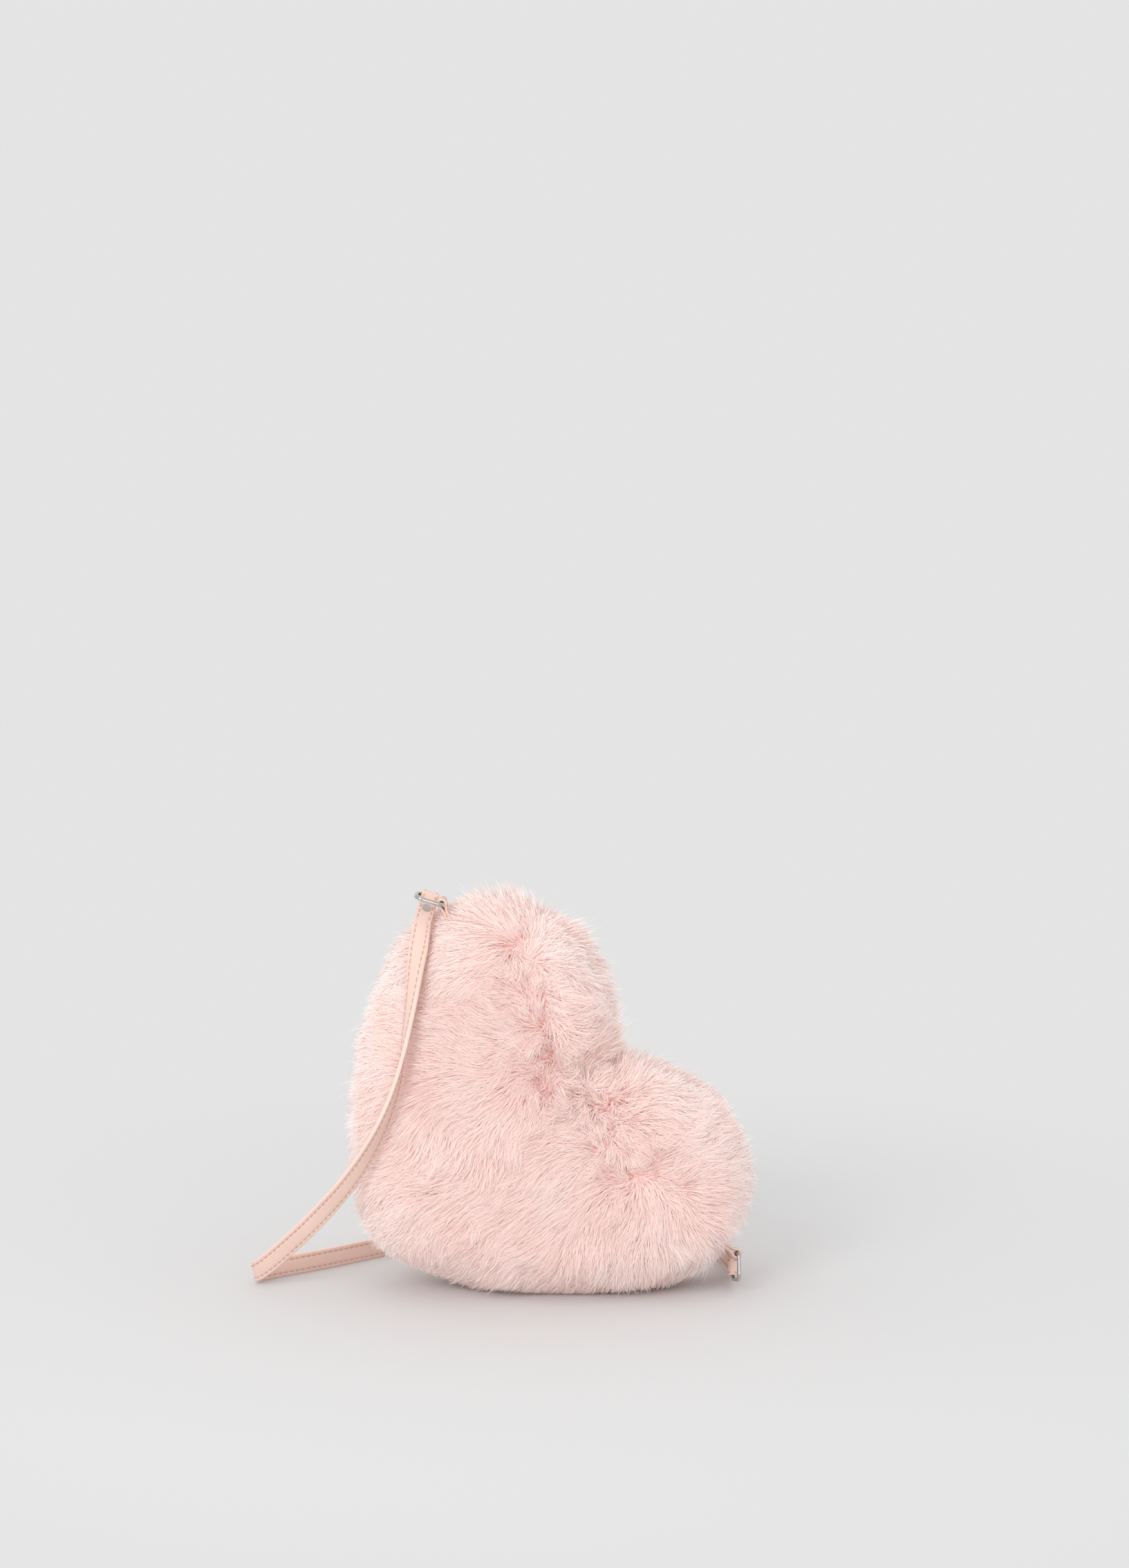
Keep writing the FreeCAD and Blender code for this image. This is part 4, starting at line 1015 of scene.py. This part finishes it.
# %% Turn hairs into tapered ribbons
def ribbon_mesh(name, lines, out, tint, width, roll):
    """One mesh of ribbons: two rows of points up each hair and one at its tip."""
    count = len(lines)
    run = np.gradient(lines, axis=1)
    run /= np.maximum(np.linalg.norm(run, axis=2), 1e-9)[:, :, None]
    side = np.cross(run, out[:, None, :])
    side /= np.maximum(np.linalg.norm(side, axis=2), 1e-9)[:, :, None]
    face = np.cross(run, side)
    face *= np.sign((face * out[:, None, :]).sum(axis=2))[:, :, None]
    cos_roll, sin_roll = np.cos(roll)[:, None, None], np.sin(roll)[:, None, None]
    side = side * cos_roll + face * sin_roll
    taper = np.array((1.0, 1.0, 0.85, 0.6))
    half = (width[:, None] * taper / 2)[:, :, None] * side[:, :STEPS]
    left, right = lines[:, :STEPS] - half, lines[:, :STEPS] + half
    rows = np.stack([left, right], axis=2).reshape(count, 2 * STEPS, 3)
    points = np.concatenate([rows, lines[:, -1:]], axis=1)
    points[:, :, 2] = np.maximum(points[:, :, 2], 0.4 * MM)
    per = 2 * STEPS + 1
    order = [(0, 1, 3, 2), (2, 3, 5, 4), (4, 5, 7, 6), (6, 7, 8)]
    corner = np.array([v for f in order for v in f])
    sizes = np.array([len(f) for f in order])
    loops = (np.arange(count)[:, None] * per + corner).ravel()
    starts = np.concatenate([[0], np.cumsum(np.tile(sizes, count))[:-1]])
    mesh = bpy.data.meshes.new(name)
    mesh.vertices.add(count * per)
    mesh.vertices.foreach_set("co", points.ravel())
    mesh.loops.add(len(loops))
    mesh.loops.foreach_set("vertex_index", loops)
    mesh.polygons.add(len(starts))
    mesh.polygons.foreach_set("loop_start", starts)
    mesh.update(calc_edges=True)
    smooth(mesh)
    up = np.array([0, 0, .25, .25, .5, .5, .75, .75, 1.0])
    aside = np.array([-1, 1, -1, 1, -1, 1, -1, 1, 0]) * 0.006
    # The tint numbers hold painted rim light as well as each hair's own tint.
    tint_and_rim_light_uv = np.clip(tint, 0.01, 0.99)[:, None] + aside
    length_uv = np.repeat((0.01 + 0.98 * up)[None, :], count, axis=0)
    uv = np.stack([tint_and_rim_light_uv, length_uv], axis=2).reshape(-1, 2)[loops]
    layer = mesh.uv_layers.new(name="OFBake")
    layer.uv.foreach_set("vector", uv.ravel().astype(np.float32))
    return mesh


def fur(name, count, keep, hard, share, upright):
    """Plant one piece of pile; share is its length against the long pile's."""
    spots, out = sow(count, keep)
    extra = chance.choice([1.0, 1.25, 1.55], count, p=[0.86, 0.11, 0.03])
    lines = grow(spots, out, share * extra, upright)
    lines, tint = gather(lines, 22, 0.05, 0.5)
    lines, clear = lie_under(lines, out, hard)
    lines, out, tint = lines[clear], out[clear], tint[clear]
    width = chance.uniform(0.16, 0.34, len(lines)) * MM / extra[clear]
    rim = 1 - np.clip(np.abs(lines[:, 0, 1]) / (20 * MM), 0, 1)
    # A hair's tone is its lock's tint, a random share and a slow drift, plus painted rim light from
    # pale. Hairs grow paler towards the heart's rim, standing in for side light shining through the
    # pile.
    tint_and_painted_rim_light = 0.30 * tint + 0.25 * chance.random(len(lines)) + 0.15 * drift(lines[:, 0], 30, 26)
    pale = np.clip(1.25 - 1.25 * np.abs(lines[:, 0, 1]) / (29 * MM), 0, 1)
    tint_and_painted_rim_light += 0.15 + 0.5 * pale
    roll = np.clip(chance.normal(0, 0.28, len(lines)) * (1 + 2 * rim), -1.2, 1.2)
    piece = new_piece(name, ribbon_mesh(name, lines, out, tint_and_painted_rim_light, width, roll), pile)
    dress(piece, "heart_body")
    return len(lines)


print("each hair is a ribbon of", STEPS, "faces")


# %% Things that the hairs keep clear of
def skin_points(mesh, per_triangle):
    """The mesh's points, and more spread over its faces."""
    mesh.calc_loop_triangles()
    corner = places(mesh)[np.array([t.vertices for t in mesh.loop_triangles])]
    mix = np.random.default_rng(8).dirichlet((1, 1, 1), (len(corner), per_triangle))
    return np.concatenate([places(mesh), np.einsum("tpc,tcx->tpx", mix, corner).reshape(-1, 3)])


def keep_clear(meshes, per_triangle, gap):
    """A search tree of a few things' skins, the gap that hairs keep from them, and their box."""
    skins = np.concatenate([skin_points(mesh, per_triangle) for mesh in meshes])
    tree = kdtree.KDTree(len(skins))
    for k, place in enumerate(skins):
        tree.insert(place, k)
    tree.balance()
    return tree, gap * MM, skins.min(axis=0), skins.max(axis=0)


LEFT_METAL = ["left_d_ring", "left_rivet_cap", "left_rivet_back"]
RIGHT_METAL = ["right_d_ring", "right_rivet_cap", "right_rivet_back"]
objects = bpy.data.objects
hard_things = [
    keep_clear([nodes[name].data for name in LEFT_METAL] + [objects["left_strap_fold"].data], 1, 1.5),
    keep_clear([nodes[name].data for name in RIGHT_METAL] + [objects["right_strap_fold"].data], 1, 1.5),
    keep_clear([strap_front.data, strap_back.data], 1, 1.5),
    keep_clear([nodes["zip_slider"].data, nodes["zip_pull"].data], 12, 0.6),
]
print("things to keep clear of:", len(hard_things), "groups")


# %% Plant the pile
def front_cloth(spots):
    return spots[:, 1] < -GUSSET_HALF * MM


def back_cloth(spots):
    return spots[:, 1] > GUSSET_HALF * MM


def gusset_cloth(spots):
    return (np.abs(spots[:, 1]) <= GUSSET_HALF * MM) & ~in_zip_slot(spots) & (spots[:, 2] > 3.8 * MM)


def parted_cloth(spots):
    """Mostly beside the parting, on the front and the back."""
    near = from_parting(spots)[1]
    return (0.1 + np.exp(-(near / (11 * MM)) ** 2)) * ~in_zip_slot(spots)


def beside_zip(spots):
    """Two narrow strips along the zip's opening, and the notch where they end."""
    strips = in_zip_slot(spots * (1, 0.55, 1)) & ~in_zip_slot(spots)
    return strips + 0.8 * near_spot(spots, NOTCH, 8) * gusset_cloth(spots)


PER_PIECE, ZIP_HAIRS = 27000, 10000
CLOTHS = [("front", front_cloth, 4), ("gusset", gusset_cloth, 3), ("back", back_cloth, 3)]
planted = 0
for name, cloth, count in CLOTHS:
    for k in range(count):
        planted += fur("%s_pile_%d" % (name, k + 1), PER_PIECE, cloth, hard_things, 1.0, 0.0)
planted += fur("underfur", PER_PIECE, parted_cloth, hard_things, 0.62, 0.5)
planted += fur("zip_fringe", ZIP_HAIRS, beside_zip, hard_things, 1.15, 0.35)
print("hairs planted:", planted)

# %% [markdown]
# ## Floor, light and background
# A pale grey sweep, one large soft lamp from the upper left, a weak fill low in front and an even
# sky. The camera and the metal see the sky as one grey and the floor fades into it, so there is no
# horizon, and the floor keeps the soft shadow. Pale fur needs many bounces of light, or the depths
# of the pile go dull.

# %% Sky: one grey for the camera and the metal, even light for the rest
GREY = 0.776
sky = bpy.data.worlds.new("studio")
scene.world = sky
sky.use_nodes = True
sky_tree = sky.node_tree
seen = sky_tree.nodes["Background"]
seen.inputs["Color"].default_value = (GREY, GREY, GREY, 1)
lit = add_node(sky_tree, "ShaderNodeBackground", Color=(1, 1, 1, 1), Strength=0.95)
rays = sky_tree.nodes.new("ShaderNodeLightPath")
mirrored_by = sky_tree.nodes.new("ShaderNodeMath")
mirrored_by.operation = "MAXIMUM"
seen_by = sky_tree.nodes.new("ShaderNodeMath")
seen_by.operation = "MAXIMUM"
blend_sky = sky_tree.nodes.new("ShaderNodeMixShader")
link(sky_tree, (rays, "Is Glossy Ray", mirrored_by, 0), (rays, "Is Transmission Ray", mirrored_by, 1),
     (rays, "Is Camera Ray", seen_by, 0), (mirrored_by, 0, seen_by, 1),
     (seen_by, 0, blend_sky, "Fac"), (lit, "Background", blend_sky, 1),
     (seen, "Background", blend_sky, 2),
     (blend_sky, "Shader", sky_tree.nodes["World Output"], "Surface"))
print("sky grey is", GREY)
scene.cycles.max_bounces = 24
scene.cycles.diffuse_bounces = 16
print("light bounces on through the pile up to", scene.cycles.diffuse_bounces, "times")

# %% Paper floor that fades into the background
paper, paper_tree, paper_shader = new_material("paper_sweep", 0.95, Specular_IOR_Level=0.0)
paper_shader.inputs["Base Color"].default_value = (0.715, 0.715, 0.715, 1)
paper_place = paper_tree.nodes.new("ShaderNodeTexCoord")
paper_far = paper_tree.nodes.new("ShaderNodeVectorMath")
paper_far.operation = "LENGTH"
paper_fade = add_node(paper_tree, "ShaderNodeMapRange", From_Min=0.17, From_Max=0.45,
                      To_Min=1.0, To_Max=0.0)
paper_fade.interpolation_type = "SMOOTHSTEP"
link(paper_tree, (paper_place, "Object", paper_far, 0), (paper_far, "Value", paper_fade, "Value"),
     (paper_fade, "Result", paper_shader, "Alpha"))
FLOOR_RADIUS, FLOOR_CORNERS = 0.9, 96
rim_turns = np.linspace(0, 2 * math.pi, FLOOR_CORNERS, endpoint=False)
disc = [(FLOOR_RADIUS * math.cos(a), FLOOR_RADIUS * math.sin(a), 0) for a in rim_turns]
floor = new_piece("paper_floor", mesh_of("paper_floor", disc, [tuple(range(FLOOR_CORNERS))]), paper)
print("floor and sky are ready")

# %% Lamp from the upper left, and a weak fill from the front, low down
def round_lamp(name, across, power, place, target):
    """A round lamp that points at a target; gives its distance."""
    data = bpy.data.lights.new(name, "AREA")
    data.shape = "DISK"
    data.size = across
    data.energy = power
    lamp = bpy.data.objects.new(name, data)
    lamp.location = place
    aim = Vector(target) - lamp.location
    lamp.rotation_euler = aim.to_track_quat("-Z", "Y").to_euler()
    scene.collection.objects.link(lamp)
    return aim.length


lamp_far = round_lamp("window_light", 1.0, 11.2, (-0.85, -1.5, 1.0), (0, 0, 0.07))
fill_far = round_lamp("fill_light", 0.6, 2.3, (0.1, -1.7, 0.18), (0, 0, 0.03))
print("lamps are %.2f and %.2f m away" % (lamp_far, fill_far))
